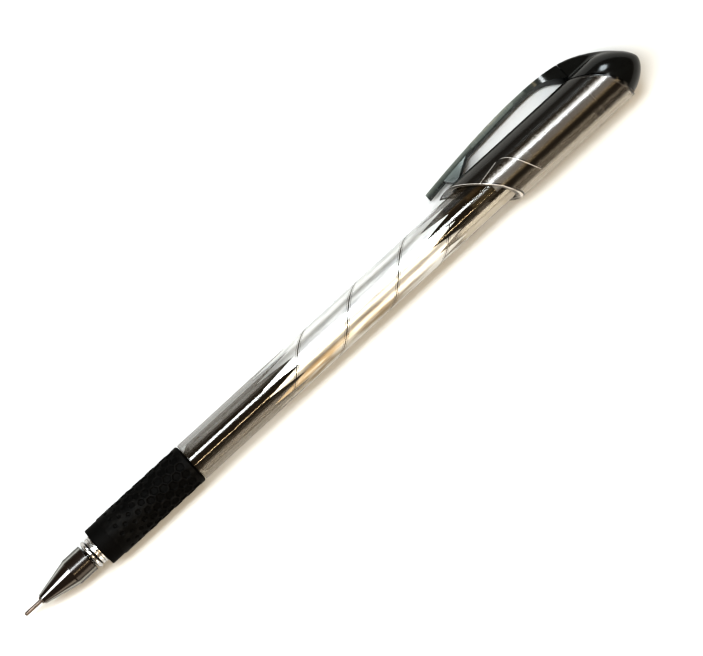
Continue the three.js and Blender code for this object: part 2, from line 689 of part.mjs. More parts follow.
// The pen lies on the front of its grip, on the cap's mouth and on the clip's crest.
function laidOnTable(pen) {
  const gripRests = GRIP_AT + GRIP_FRONT_BAND;
  const capRests = CAP_AT - TONGUE_REACH + TONGUE_ROUND + MOUTH_SLANT / 4;
  const pitch = Math.atan((CAP_RADIUS - GRIP_RADIUS) / (capRests - gripRests));
  const crestFromCap = CAP_AT + CLIP_CREST_AT - capRests;
  const axisHeight = CAP_RADIUS + crestFromCap * Math.tan(pitch);
  const edgeHeight = CLIP_CREST - CLIP_CROWN;
  const edgeReach = Math.hypot(edgeHeight, CLIP_BACK_WIDTH / 2);
  const edgeAngle = Math.atan2(CLIP_BACK_WIDTH / 2, edgeHeight);
  pen.rotation.x = edgeAngle - Math.asin(axisHeight / edgeReach);
  const tilted = new THREE.Group();
  tilted.rotation.y = -pitch;
  tilted.add(pen);
  const box = new THREE.Box3().setFromObject(tilted, true);
  const middle = box.getCenter(new THREE.Vector3());
  tilted.position.set(-middle.x, -middle.y, -box.min.z);
  const laid = new THREE.Group();
  laid.add(tilted);
  return laid;
}

const pen = laidOnTable(penAlongAxis());

export default pen;
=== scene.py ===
import json
import math

import bmesh
import bpy
from mathutils import Matrix, Vector


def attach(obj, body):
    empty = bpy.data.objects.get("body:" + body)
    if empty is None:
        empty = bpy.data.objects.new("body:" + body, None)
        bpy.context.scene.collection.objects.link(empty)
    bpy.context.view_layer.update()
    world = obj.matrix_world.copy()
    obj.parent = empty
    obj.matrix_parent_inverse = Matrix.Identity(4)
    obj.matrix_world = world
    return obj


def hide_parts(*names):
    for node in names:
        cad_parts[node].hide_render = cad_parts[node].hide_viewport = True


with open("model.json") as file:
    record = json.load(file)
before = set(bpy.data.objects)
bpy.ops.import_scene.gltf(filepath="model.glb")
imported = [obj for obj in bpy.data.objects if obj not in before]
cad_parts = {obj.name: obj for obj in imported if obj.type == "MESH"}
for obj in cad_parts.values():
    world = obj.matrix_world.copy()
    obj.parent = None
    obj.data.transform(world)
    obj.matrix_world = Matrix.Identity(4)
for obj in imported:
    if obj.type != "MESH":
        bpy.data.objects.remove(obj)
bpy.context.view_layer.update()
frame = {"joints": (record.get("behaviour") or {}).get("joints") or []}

# Lengths are in millimetres along the pen: x runs from the writing ball to the cap, y points
# to the clip, and the finished pieces are then laid on the table in metres.
MM = 0.001

# Clearances
FIT = 0.12
FINE_FIT = 0.05
FACE_GAP = 0.15
SEAM_GAP = 0.3

# Writing tip
BALL_RADIUS = 0.25
BALL_SHOW = 0.1
BALL_PLAY = 0.03
LIP_WALL = 0.07
NEEDLE_RADIUS = 0.4
NEEDLE_TAPER = 0.35
NEEDLE_REACH = 4.16
NEEDLE_SET = 3
NEEDLE_BORE = 0.13
NEEDLE_RIB = 0.14
NEEDLE_RING = 0.04
NEEDLE_RING_DEPTH = 0.012
HOLDER_NECK_RADIUS = 0.785
HOLDER_NECK_SHOW = 0.39
HOLDER_EDGE = 0.1
HOLDER_CHANNEL = 0.35
HOLDER_REST = 0.7
HOLDER_SPIGOT_LENGTH = 4

# Ink tube and what it holds
TUBE_RADIUS = 1.5
TUBE_BORE = 1.1
TUBE_LENGTH = 124
TUBE_EMPTY = 9.9
INK_PLAY = 0.08
GREASE_LENGTH = 6

# Nose cone, bead ring and collar
NOSE_FRONT_RADIUS = 1.08
NOSE_SHOULDER_RADIUS = 2.88
NOSE_BAND_RADIUS = 2.95
NOSE_CONE_LENGTH = 7.75
NOSE_BAND_LENGTH = 4.3
NOSE_STEP = 0.16
NOSE_WALL = 0.62
NOSE_GAP = 0.4
BEAD_RING_RADIUS = 3.18
BEAD_RING_LENGTH = 1.05
COLLAR_RADIUS = 3.04
COLLAR_LENGTH = 1.15

# Barrel and end plug
SPIGOT_RADIUS = 2.12
SPIGOT_REACH = 4.7
SPIGOT_BORE = 1.68
CORE_RADIUS = 3.1
CORE_BORE = 2.3
BARREL_RADIUS = 4.31
BARREL_BORE = 3.31
BARREL_LENGTH = 104.4
BORE_TAPER = 1.5
PLUG_SET = 4
PLUG_FLANGE_RADIUS = 4.15
PLUG_FLANGE_LENGTH = 1.55
PLUG_WALL = 0.9
PLUG_FLOOR = 0.8
VENT_RADIUS = 0.5

# Rubber grip
GRIP_RADIUS = 4.39
GRIP_FRONT_RADIUS = 4.26
GRIP_FRONT_BAND = 3.1
GRIP_LENGTH = 24.52
GRIP_REAR_ROUND = 0.5
CELLS_AROUND = 14
CELL_COLUMNS = 11
CELL_RIB = 0.4
CELL_DEPTH = 0.28
CELL_SLOPE = 0.16
CELL_MARGIN = 2.1
SMALLEST_CELL = 0.5
CELL_FADE = 6
STEPS_PER_CELL = 18
WAVE_AT = 13.2
WAVE_SWING = 1.9
WAVE_TURN = math.radians(75)
WAVE_RIDGE = 0.05
WAVE_RIDGE_WIDTH = 0.5

# Cap and clip, measured from the stop inside the cap
CAP_RADIUS = 5.54
CAP_BORE = 4.62
TONGUE_REACH = 36
TONGUE_ROUND = 3.6
TONGUE_HEIGHT = 4.15
MOUTH_SLANT = 7.6
MOUTH_FOOT = -3.55
MOUTH_HEEL = 1.6
SEAM_CREST = -3.1
SEAM_SLANT = 5.85
SEAM_TURN = 0.75
SEAM_HEEL = 3.7
SEAM_FADE = 3.2
HEAD_SHOULDER = 4.4
HEAD_LENGTH = 7.4
APEX_DROP = 0.4
HEAD_HOLD = 1.7
HEAD_BLUNT_TOP = 0.7
HEAD_BLUNT_BOTTOM = 0.6
HEAD_BLUNT_SIDE = 0.55
HEAD_CROWDING = 0.75
HEAD_LAST_RING = 0.985
LINER_BORE = 2.4
LINER_WALL = 0.7
LINER_LENGTH = 5.4
LINER_FLOOR = 0.7
CLIP_FREE_END = -37.3
CLIP_CREST_AT = -12.5
CLIP_CREST = 10.37
CLIP_FRONT_FALL = 2.5
CLIP_FRONT_CURVE = 1.5
CLIP_REAR_FALL = 3.77
CLIP_REAR_RUN = 17.5
CLIP_REAR_CURVE = 3.3
CLIP_BACK_WIDTH = 3.2
CLIP_INNER_WIDTH = 1.5
CLIP_THICKNESS = 0.88
CLIP_CROWN = 0.22
CLIP_FLAT_FROM = -25.5
CLIP_FLAT_TO = -12
CLIP_ARCH_FROM = -8.6
CLIP_ROOT = -1.6
CLIP_ROOT_LIFT = 0.32
BEAD_FRONT = 4.5
BEAD_LENGTH = 6.8
BEAD_TIP_FROM = 1.3
BEAD_TIP_LENGTH = 1.2
BEAD_LIFT = 0.3
RIDGE_AT = CLIP_ROOT + SEAM_GAP
CLIP_PIVOT_HEIGHT = 7.2
CLIP_SWING = math.radians(4.3)
CLIP_EASED_TO = -9.84
ROOT_GAP = 0.04
ROOT_BLEND = 4
ROOT_SLANT = 0.22
ROOT_MARGIN = 0.25
ROOT_DEPTH = 1.2
ROOT_HALF = 2.8
ROOT_FADE = 1.1
RIDGE_END = 10.4
RIDGE_END_WIDTH = 5.6
RIDGE_FILLET = 1.6
RIDGE_SQUARENESS = 12
RIDGE_END_SQUARENESS = 4

# Printed field and clear rear end of the barrel
PRINT_START = 64
PRINT_END = 114.4
PRINT_EDGE = 0.12
COMB_TEETH = 14
FRONT_COMB = 18
REAR_COMB = 14
LINE_PITCH = 13.5
LINE_TURNS = 2
# Where the print's painted warm reflection has faded most of the way
PAINTED_WARMTH_UNTIL = 88
REAR_WINDOW = 112

# Ledge on the cap's sleeve, measured as the cap, with turns in degrees from the clip
RISER_TURN = 84
RISER_AT = -23.8
RISER_SLOPE = 0.04
RISER_FROM = -28.2
RISER_TO = -22.6
LEDGE_TURN = 82
LEDGE_END_TURN = 162
LEDGE_AT = -22.3
LEDGE_CURL = 4.485

# The side of the pen that faces up as it lies
UPWARD = math.radians(115)

# Places along the pen
NOSE_LENGTH = NOSE_CONE_LENGTH + NOSE_STEP + NOSE_BAND_LENGTH
NOSE_SLOPE = (NOSE_SHOULDER_RADIUS - NOSE_FRONT_RADIUS) / NOSE_CONE_LENGTH
NOSE_AT = NEEDLE_REACH + HOLDER_NECK_SHOW
BEAD_RING_AT = NOSE_AT + NOSE_LENGTH + NOSE_GAP
COLLAR_AT = BEAD_RING_AT + BEAD_RING_LENGTH + FACE_GAP
GRIP_AT = COLLAR_AT + COLLAR_LENGTH + FACE_GAP
SPIGOT_AT = NOSE_AT + NOSE_LENGTH - SPIGOT_REACH
STEP_AT = GRIP_AT + GRIP_LENGTH + FACE_GAP
BARREL_END = STEP_AT + BARREL_LENGTH
PLUG_AT = BARREL_END + FACE_GAP - PLUG_SET
CAP_AT = PLUG_AT + PLUG_SET + PLUG_FLANGE_LENGTH + 2 * FACE_GAP


def cone_start(radius):
    """Distance from the nose's front to where its inner cone has the given radius."""
    return (radius + NOSE_WALL - NOSE_FRONT_RADIUS) / NOSE_SLOPE


TUBE_AT = NOSE_AT + cone_start(TUBE_RADIUS + FIT) + HOLDER_REST + FINE_FIT
INK_AT = TUBE_AT + HOLDER_SPIGOT_LENGTH + FINE_FIT
INK_LENGTH = TUBE_LENGTH - HOLDER_SPIGOT_LENGTH - GREASE_LENGTH - TUBE_EMPTY - 2 * FINE_FIT
GREASE_AT = INK_AT + INK_LENGTH + FINE_FIT


def laid_pen():
    """The matrix that lays a piece drawn along the pen, in millimetres, on the table."""
    joints = {joint["name"]: joint for joint in frame["joints"]}
    along = Vector(joints["cap_pull"]["axis"]).normalized()
    side = Vector(joints["ball_roll"]["axis"]).normalized()
    clipward = side.cross(along)
    tip = Vector(joints["ball_roll"]["pos_m"]) - along * BALL_RADIUS * MM
    turn = Matrix((along, clipward, side)).transposed()
    return Matrix.Translation(tip) @ turn.to_4x4() @ Matrix.Scale(MM, 4)


PEN = laid_pen()
AXES = PEN.to_3x3().normalized()


# Shader sums

class Signal:
    """A shader socket that plain sums can be written with."""

    def __init__(self, finish, socket):
        self.finish = finish
        self.socket = socket

    def __add__(self, other):
        return self.finish.maths("ADD", self, other)

    def __sub__(self, other):
        return self.finish.maths("SUBTRACT", self, other)

    def __rsub__(self, other):
        return self.finish.maths("SUBTRACT", other, self)

    def __mul__(self, other):
        return self.finish.maths("MULTIPLY", self, other)

    def __truediv__(self, other):
        return self.finish.maths("DIVIDE", self, other)

    __radd__ = __add__
    __rmul__ = __mul__


class Finish:
    """One material, made node by node."""

    def __init__(self, name):
        self.material = bpy.data.materials.new(name)
        self.material.use_nodes = True
        self.tree = self.material.node_tree
        self.tree.nodes.clear()

    def node(self, kind, settings, inputs, output=0):
        node = self.tree.nodes.new(kind)
        for key, value in settings.items():
            setattr(node, key, value)
        for key, value in inputs.items():
            if isinstance(value, Signal):
                self.tree.links.new(value.socket, node.inputs[key])
            else:
                node.inputs[key].default_value = value
        return Signal(self, node.outputs[output])

    def maths(self, operation, *values):
        return self.node("ShaderNodeMath", {"operation": operation}, dict(enumerate(values)))

    def place(self):
        """Millimetres along the pen, towards the clip and sideways."""
        back = AXES.transposed()
        settings = {
            "Vector": self.node("ShaderNodeTexCoord", {}, {}, "Object"),
            "Location": back @ PEN.translation * (-1 / MM),
            "Rotation": back.to_euler("XYZ"),
            "Scale": (1 / MM,) * 3,
        }
        return self.node("ShaderNodeMapping", {"vector_type": "POINT"}, settings)

    def parts(self, vector):
        split = self.tree.nodes.new("ShaderNodeSeparateXYZ")
        self.tree.links.new(vector.socket, split.inputs[0])
        return [Signal(self, socket) for socket in split.outputs]

    def turn(self, y, z):
        """The angle around the pen from the clip, with its jump on the side that lies down."""
        rise, lean = math.cos(UPWARD), math.sin(UPWARD)
        return self.maths("ARCTAN2", z * rise - y * lean, y * rise + z * lean) + UPWARD

    def stretched(self, vector, x, y, z):
        settings = {"operation": "MULTIPLY"}
        return self.node("ShaderNodeVectorMath", settings, {0: vector, 1: (x, y, z)})

    def ramp(self, value, start, end):
        """0 before start, 1 after end, with a soft change between."""
        settings = {"interpolation_type": "SMOOTHSTEP"}
        return self.node("ShaderNodeMapRange", settings, {0: value, 1: start, 2: end, 3: 0, 4: 1})

    def between(self, value, start, end, soft):
        """1 from start to end, with soft changes inside both."""
        return self.ramp(value, start, start + soft) * (1 - self.ramp(value, end - soft, end))

    def speckle(self, vector, scale, detail=3, roughness=0.5):
        inputs = {"Vector": vector, "Scale": scale, "Detail": detail, "Roughness": roughness}
        return self.node("ShaderNodeTexNoise", {}, inputs)

    def mix(self, share, first, second):
        inputs = {0: share, 6: first, 7: second}
        return self.node("ShaderNodeMix", {"data_type": "RGBA"}, inputs, 2)

    def bump(self, height, strength, distance):
        inputs = {"Height": height, "Strength": strength, "Distance": distance}
        return self.node("ShaderNodeBump", {}, inputs)

    def scratches(self, vector):
        """Fine handling marks that run mostly along the pen."""
        long = self.speckle(self.stretched(vector, 0.05, 2.2, 2.2), 3, 4, 0.6)
        cross = self.speckle(self.stretched(vector, 1.6, 0.12, 0.12), 2.2, 3, 0.6)
        return self.ramp(long, 0.58, 0.72) * 0.6 + self.ramp(cross, 0.62, 0.74) * 0.4

    def attribute(self, name):
        """A number that the piece carries on its own points."""
        return self.node("ShaderNodeAttribute", {"attribute_name": name}, {}, "Fac")

    def finished(self, **sockets):
        named = {key.replace("_", " "): value for key, value in sockets.items()}
        shader = self.node("ShaderNodeBsdfPrincipled", {}, named)
        output = self.tree.nodes.new("ShaderNodeOutputMaterial")
        self.tree.links.new(shader.socket, output.inputs["Surface"])
        return self.material


# Finishes

HEAD_ROUGHNESS = 0.14
CLIP_ROUGHNESS = 0.24


def grey(level, warmth=0.0):
    """A grey, or with warmth one with more red and less blue."""
    return (level * (1 + warmth), level, level * (1 - warmth), 1)


def polished_ball():
    steel = Finish("polished_ball_steel")
    place = steel.place()
    haze = steel.speckle(place, 6, 4)
    tone = steel.mix(haze, grey(0.5), grey(0.68))
    return steel.finished(Base_Color=tone, Metallic=1.0, Roughness=0.1 + haze * 0.12,
                          Normal=steel.bump(haze, 0.05, 2e-6))


def needle_steel():
    steel = Finish("needle_steel")
    place = steel.place()
    x, _, _ = steel.parts(place)
    turning = steel.maths("PINGPONG", x, NEEDLE_RIB / 2) * (2 / NEEDLE_RIB)
    stain = steel.speckle(steel.stretched(place, 1, 2, 2), 1.4, 4)
    tone = steel.mix(stain, (0.09, 0.075, 0.068, 1), (0.2, 0.17, 0.155, 1))
    return steel.finished(Base_Color=tone, Metallic=1.0, Roughness=0.24 + stain * 0.16,
                          Normal=steel.bump(turning + stain * 0.4, 0.3, 8e-6))


def holder_steel():
    steel = Finish("holder_steel")
    place = steel.place()
    rings = steel.speckle(steel.stretched(place, 14, 0.4, 0.4), 2, 3)
    tone = steel.mix(rings, (0.07, 0.062, 0.058, 1), (0.15, 0.135, 0.125, 1))
    return steel.finished(Base_Color=tone, Metallic=1.0, Roughness=0.25 + rings * 0.15,
                          Normal=steel.bump(rings, 0.2, 6e-6))


def bright_plating(name, dull):
    chrome = Finish(name)
    place = chrome.place()
    cloud = chrome.speckle(place, 0.8, 2)
    marks = chrome.scratches(place)
    tone = chrome.mix(cloud, grey(0.4, 0.01), grey(0.55, 0.01))
    return chrome.finished(Base_Color=tone, Metallic=1.0,
                           Roughness=dull + cloud * 0.06 + marks * 0.08,
                           Normal=chrome.bump(cloud, 0.03, 2e-6))


def smoked_nose():
    """Black plastic under a thin clear skin, with two pale streaks of painted sheen along it, where
    the skin's edges would catch the light.
    """
    nose = Finish("smoked_nose_plastic")
    place = nose.place()
    x, y, z = nose.parts(place)
    turn = nose.turn(y, z)
    shoulder = NOSE_AT + NOSE_CONE_LENGTH
    band = nose.ramp(x, shoulder, shoulder + NOSE_STEP)
    marks = nose.scratches(place)
    swirl = nose.speckle(nose.stretched(place, 0.25, 1, 1), 1.2, 4)
    # Painted sheen: two pale streaks at fixed turns around the nose, where the clear skin would
    # show pale as it turns away
    streaks = nose.between(turn, math.radians(49), math.radians(66), 0.08)
    streaks = streaks + nose.between(turn, math.radians(164), math.radians(181), 0.08)
    dark = nose.mix(swirl, (0.006, 0.0042, 0.0034, 1), (0.016, 0.0115, 0.009, 1))
    tone = nose.mix(streaks * (0.4 + swirl * 0.3), dark, (0.24, 0.25, 0.24, 1))
    return nose.finished(Base_Color=tone, IOR=1.55,
                         Roughness=0.07 + marks * 0.16 + swirl * 0.05 + band * 0.13,
                         Coat_Weight=0.4 - band * 0.4, Coat_Roughness=0.04,
                         Normal=nose.bump(marks + swirl * 0.3, 0.06, 1.5e-5))


def grip_rubber():
    """Matt rubber with a pale bloom on its raised ribs that is also a painted highlight, leaving
    the pockets darker, and a fine cross-hatch in front of the honeycomb.
    """
    rubber = Finish("grip_rubber")
    place = rubber.place()
    x, y, z = rubber.parts(place)
    radius = rubber.maths("SQRT", y * y + z * z)
    turn = rubber.maths("ARCTAN2", z, y)
    raised = rubber.ramp(radius, GRIP_RADIUS - CELL_DEPTH * 0.6, GRIP_RADIUS - 0.02)
    grain = rubber.speckle(place, 7, 4, 0.6)
    bloom = rubber.speckle(rubber.stretched(place, 0.6, 1, 1), 0.9, 4, 0.6)
    weave_x = rubber.maths("PINGPONG", x + turn * 3.2, 0.34)
    weave_y = rubber.maths("PINGPONG", x - turn * 3.2, 0.34)
    front = rubber.between(x, GRIP_AT + GRIP_FRONT_BAND, GRIP_AT + WAVE_AT, 1.4)
    weave = (weave_x + weave_y) * front * 1.6
    # A cloudy pale bloom that is also painted highlight: it stays on the raised ribs, so they read
    # lighter than the pockets
    bloom_and_rib_highlight = rubber.ramp(bloom, 0.42, 0.75) * raised
    tone = rubber.mix(bloom_and_rib_highlight * 0.8, grey(0.002, 0.08), grey(0.012, 0.05))
    tone = rubber.mix(grain * 0.3, tone, grey(0.006, 0.05))
    return rubber.finished(Base_Color=tone, Roughness=0.52 + bloom * 0.2 - raised * 0.08,
                           IOR=1.48, Specular_IOR_Level=0.12,
                           Normal=rubber.bump(grain * 0.6 + weave, 0.35, 3e-5))


class ClearShell(Finish):
    """Smoky clear plastic, with the places and marks that the barrel and the sleeve share."""

    def __init__(self, name, radius, tint):
        super().__init__(name)
        self.point = self.place()
        self.x, y, z = self.parts(self.point)
        self.angle = self.turn(y, z)
        reach = self.maths("SQRT", y * y + z * z)
        self.outside = self.ramp(reach, radius - 0.3, radius - 0.25)
        self.flow = self.speckle(self.stretched(self.point, 0.06, 0.5, 0.5), 1.5, 5, 0.55)
        self.marks = self.scratches(self.point)
        self.edge = self.node("ShaderNodeLayerWeight", {}, {"Blend": 0.5}, "Facing")
        self.smoke = self.mix(self.flow, tint, [part * 1.7 for part in tint[:3]] + [1])

    def zone(self, start, end, soft, wander=0):
        """A stripe between two turns in degrees, whose sides may wander."""
        angle = self.angle + wander if wander else self.angle
        return self.between(angle, math.radians(start), math.radians(end), soft)


def silvery_print(shell):
    """How far the barrel's print covers the plastic, and its colour: a field with combed ends
    and thin winding lines left clear in it, with a painted warm reflection on its lower side."""
    x, around = shell.x, shell.angle / (2 * math.pi)
    front_teeth = shell.maths("PINGPONG", around * COMB_TEETH, 0.5) * FRONT_COMB
    rear_teeth = shell.maths("PINGPONG", around * COMB_TEETH + 0.5, 0.5) * REAR_COMB
    field = shell.ramp(x - front_teeth, PRINT_START, PRINT_START + PRINT_EDGE)
    field = field * (1 - shell.ramp(x + rear_teeth, PRINT_END, PRINT_END + PRINT_EDGE))
    winding = shell.maths("PINGPONG", x / LINE_PITCH + around * LINE_TURNS, 0.5)
    line = 1 - shell.ramp(winding, 0.009, 0.014)
    hairline = shell.between(winding, 0.035, 0.046, 0.003)
    worn = shell.ramp(shell.speckle(shell.point, 1.6, 5, 0.7), 0.68, 0.75)
    ink = field * shell.outside * (1 - line * 0.92) * (1 - hairline * 0.8) * (1 - worn * 0.5)
    streaks = shell.speckle(shell.stretched(shell.point, 0.05, 0.35, 0.35), 2, 4, 0.6)
    silver = shell.ramp(streaks, 0.35, 0.7)
    paint = shell.mix(silver, (0.62, 0.63, 0.63, 1), (0.42, 0.43, 0.44, 1))
    # Painted reflection: the print's lower side is tinted warm tan, less towards the rear
    painted_warm_reflection = shell.zone(129, 200, 0.3) * (1 - shell.ramp(x, PAINTED_WARMTH_UNTIL, REAR_WINDOW) * 0.7)
    return ink, shell.mix(painted_warm_reflection * (0.5 + silver * 0.5), paint, (0.23, 0.185, 0.125, 1))


def smoky_barrel_finish():
    """Smoky clear plastic, with a dark band of painted shade along the full ink tube, a painted
    pale cream reflection on its lower side and painted shade on the upper side of its rear end.
    """
    shell = ClearShell("smoky_barrel_plastic", BARREL_RADIUS, (0.03, 0.021, 0.011, 1))
    rear = shell.ramp(shell.x, REAR_WINDOW, REAR_WINDOW + 2)
    # Painted shade: a dark band over the full part of the ink tube, wider than the tube itself
    painted_tube_shade = shell.zone(87, 144, 0.07) * shell.outside
    painted_tube_shade = painted_tube_shade * (1 - shell.ramp(shell.x, GREASE_AT, GREASE_AT + 1))
    # Painted reflection: a pale cream band on the lower side, stronger at the rear end
    painted_lower_light = shell.zone(143, 196, 0.1) * shell.outside * (0.35 + rear * 0.6)
    tone = shell.mix(painted_tube_shade * 0.8, shell.smoke, (0.004, 0.003, 0.002, 1))
    tone = shell.mix(painted_lower_light, tone, (0.29, 0.275, 0.24, 1))
    # Painted shade on the upper side of the barrel's rear end
    tone = shell.mix(rear * shell.zone(64, 88, 0.1), tone, grey(0.01))
    alpha = 0.17 + 0.2 * shell.ramp(shell.edge, 0.3, 0.42)
    alpha = alpha + 0.5 * shell.ramp(shell.edge, 0.68, 0.85)
    alpha = alpha + painted_tube_shade * 0.5 + (shell.flow - 0.5) * 0.06 + painted_lower_light * 0.45
    alpha = alpha + rear * shell.zone(64, 100, 0.1) * 0.5
    alpha = shell.maths("MINIMUM", alpha, 0.97)
    ink, paint = silvery_print(shell)
    return shell.finished(
        Base_Color=shell.mix(ink, tone, paint),
        Metallic=ink * 0.85,
        Roughness=0.06 + shell.marks * 0.12 + ink * 0.22 + shell.flow * 0.03,
        IOR=1.75,
        Alpha=alpha * (1 - ink) + ink,
        Normal=shell.bump(shell.marks * 0.25 + shell.flow * 0.05 + ink * 0.4, 0.02, 1e-5))


def sleeve_lines(shell, along, grain):
    """Painted highlight and shade lines at the sleeve's rim, ledge and seam, a painted pale end
    face at the rim, a band darkened right up to the seam, and the ledge's step.
    """
    from_mouth = shell.attribute("from_mouth")
    from_seam = shell.attribute("from_seam")
    past = shell.angle - math.radians(LEDGE_TURN)
    curl = shell.maths("SQRT", shell.maths("MAXIMUM", past, 0.0))
    ledge = along - LEDGE_AT - curl * LEDGE_CURL
    curled = shell.zone(LEDGE_TURN, LEDGE_END_TURN, 0.04) * shell.outside
    riser = shell.angle - math.radians(RISER_TURN) + (along - RISER_AT) * RISER_SLOPE
    riser = 1 - shell.ramp(shell.maths("ABSOLUTE", riser), 0.014, 0.024)
    riser = riser * shell.between(along, RISER_FROM, RISER_TO, 0.3) * shell.outside
    # Painted highlights: along the ledge, the rim, the riser and, broken, beside the seam
    painted_highlights = shell.between(ledge, -0.12, 0.12, 0.06) * curled
    painted_highlights = painted_highlights + shell.between(from_mouth, -0.02, 0.24, 0.06) + riser * 0.5
    broken = shell.ramp(grain, 0.4, 0.6)
    painted_highlights = painted_highlights + shell.between(from_seam, 0.5, 0.72, 0.08) * broken * 0.35
    # Painted shade just past the ledge and the rim, and darker right up to the seam
    dark = shell.between(ledge, 0.1, 0.4, 0.08) * curled
    dark = dark + shell.between(from_mouth, 0.2, 0.62, 0.08)
    dark = shell.maths("MINIMUM", dark + 1 - shell.ramp(from_seam, 0.3, 0.55), 1.0)
    # Painted light: a paler, more opaque end face at the rim
    rim_face = shell.between(from_mouth, -0.3, 0.0, 0.04)
    return painted_highlights, dark, rim_face, shell.ramp(ledge, -0.05, 0.05) * curled


def smoky_cap_finish():
    """Smoky clear plastic with painted light and shade: near black painted shade under the clip,
    ragged stripes of painted highlight, reflection and shade that end in a cream painted reflection
    on the lower side, and fine painted highlight and shade lines at its rim, ledge and seam."""
    shell = ClearShell("smoky_cap_plastic", CAP_RADIUS, (0.022, 0.016, 0.01, 1))
    along = shell.x - CAP_AT
    grain = shell.speckle(shell.point, 5, 3, 0.7)
    ragged = grain - 0.5
    # Painted shade: near black on the clip's side of the sleeve, with a ragged lower edge
    shade_edge = math.radians(91) + ragged * 0.5
    shade = 1 - shell.ramp(shell.angle - shade_edge, -0.12, 0.12)
    shade = shade * shell.ramp(shell.angle, -1.1, -0.85)
    shade = shade * shell.outside * shell.ramp(along, -34, -31)
    # Painted highlight: a thin pale line near the sleeve's upper edge
    crest = shell.zone(57, 61, 0.03) * shell.outside
    # Painted highlight: a soft grainy pale band along the top of the sleeve
    painted_highlight_band = shell.zone(94, 114, 0.14, ragged * 0.4) * shell.outside
    # Painted reflection: a mid-grey stripe just below the highlight
    middle = shell.zone(110, 127, 0.1, ragged * 0.3)
    # Painted shade: a dark brown-black stripe below that
    band = shell.zone(124, 152, 0.16, ragged * 0.4)
    # Painted reflection: a pale warm grey lower side
    painted_lower_light = shell.zone(156, 205, 0.24, ragged * 0.3) * shell.outside
    painted_highlights, dark, rim_face, step = sleeve_lines(shell, along, grain)
    tone = shell.mix(band * 0.9, shell.smoke, (0.006, 0.0045, 0.003, 1))
    tone = shell.mix(middle * 0.8, tone, grey(0.11, 0.04))
    tone = shell.mix(painted_highlight_band * 0.9, tone, grey(0.23))
    tone = shell.mix(painted_lower_light * 0.9, tone, (0.31, 0.3, 0.28, 1))
    tone = shell.mix(crest * 0.6 + rim_face * 0.7, tone, grey(0.16))
    tone = shell.mix(shell.maths("MAXIMUM", shade, dark) * 0.92, tone, grey(0.004))
    tone = shell.mix(painted_highlights * (0.3 + grain * 0.75), tone, grey(0.36, 0.02))
    cover = 0.3 + shade * 0.75 + band * 0.5 + middle * 0.2 + painted_lower_light * 0.3 + painted_highlight_band * 0.4
    cover = cover + painted_highlights * 0.4 + dark * 0.6 + rim_face * 0.3
    cover = cover + 0.6 * shell.ramp(shell.edge, 0.78, 0.92) + (shell.flow - 0.5) * 0.08
    height = shell.marks * 0.3 + shell.flow * 0.1 + grain * 0.12 + step * 2.5
    return shell.finished(
        Base_Color=tone,
        Roughness=0.15 + shell.marks * 0.12 + grain * 0.14,
        IOR=1.65,
        Alpha=shell.maths("MINIMUM", cover, 1.0),
        Normal=shell.bump(height, 0.08, 2e-5))


def tube_plastic():
    """Natural plastic: black with ink as far as it is filled, milky and clear behind."""
    tube = Finish("ink_tube_plastic")
    place = tube.place()
    x, _, _ = tube.parts(place)
    film = tube.speckle(tube.stretched(place, 0.08, 0.9, 0.9), 1.6, 4)
    grease_end = GREASE_AT + GREASE_LENGTH
    empty = tube.ramp(x, grease_end - 0.5, grease_end + 0.3)
    greased = tube.between(x, GREASE_AT - 0.2, grease_end, 0.3)
    tone = tube.mix(empty, tube.mix(film, grey(0.002), grey(0.007)), grey(0.62, -0.02))
    tone = tube.mix(greased, tone, (0.035, 0.028, 0.014, 1))
    return tube.finished(Base_Color=tone, Roughness=0.16 + film * 0.1, IOR=1.5,
                         Alpha=0.97 - empty * 0.5,
                         Normal=tube.bump(film, 0.08, 1e-5))


def tinted(name, deep, light, rough, scale, alpha=1.0):
    """A material clouded between a deep and a light colour."""
    stuff = Finish(name)
    place = stuff.place()
    cloud = stuff.speckle(place, scale, 4)
    fine = stuff.speckle(place, scale * 9, 3)
    return stuff.finished(Base_Color=stuff.mix(cloud, deep, light), Roughness=rough + cloud * 0.12,
                          Alpha=alpha, Normal=stuff.bump(cloud + fine * 0.3, 0.1, 2e-5))


def black_gloss(name, rough):
    """Glossy black moulding with faint flow, dust and handling marks. A painted grey-green
    sheen lies on the clip's flanks, and it is as glossy as the head from the clip's root on."""
    gloss = Finish(name)
    place = gloss.place()
    x, _, _ = gloss.parts(place)
    marks = gloss.scratches(place)
    flow = gloss.speckle(gloss.stretched(place, 0.2, 0.8, 0.8), 0.8, 4)
    dust = gloss.ramp(gloss.speckle(place, 9, 2, 0.5), 0.74, 0.8)
    tone = gloss.mix(flow, grey(0.0025), (0.008, 0.0092, 0.009, 1))
    tone = gloss.mix(dust * 0.3, tone, grey(0.1))
    rooted = gloss.ramp(x, CAP_AT - 9, CAP_AT - 4)
    # Painted sheen: a grey-green tone on the clip's slanted flanks, fading out towards its root
    painted_flank_sheen = gloss.attribute("flank") * (1 - rooted)
    tone = gloss.mix(painted_flank_sheen * (0.45 + flow * 0.55), tone, (0.118, 0.138, 0.138, 1))
    dull = rough - rooted * (rough - HEAD_ROUGHNESS)
    return gloss.finished(Base_Color=tone, Roughness=dull + marks * 0.12 + flow * 0.06 + dust * 0.3,
                          IOR=1.5,
                          Normal=gloss.bump(flow * 0.5 + marks * 0.4, 0.05, 3e-5))


# Shapes

def braced(outline, margin=0.22):
    """Adds points beside the corners of an outline, so that long flanks stay flat when shaded."""
    points = []
    for start, end in zip(outline, outline[1:] + outline[:1]):
        start, end = Vector(start), Vector(end)
        points.append(tuple(start))
        length = (end - start).length
        if length > 3 * margin:
            share = margin / length
            points += [tuple(start.lerp(end, share)), tuple(start.lerp(end, 1 - share))]
    return points


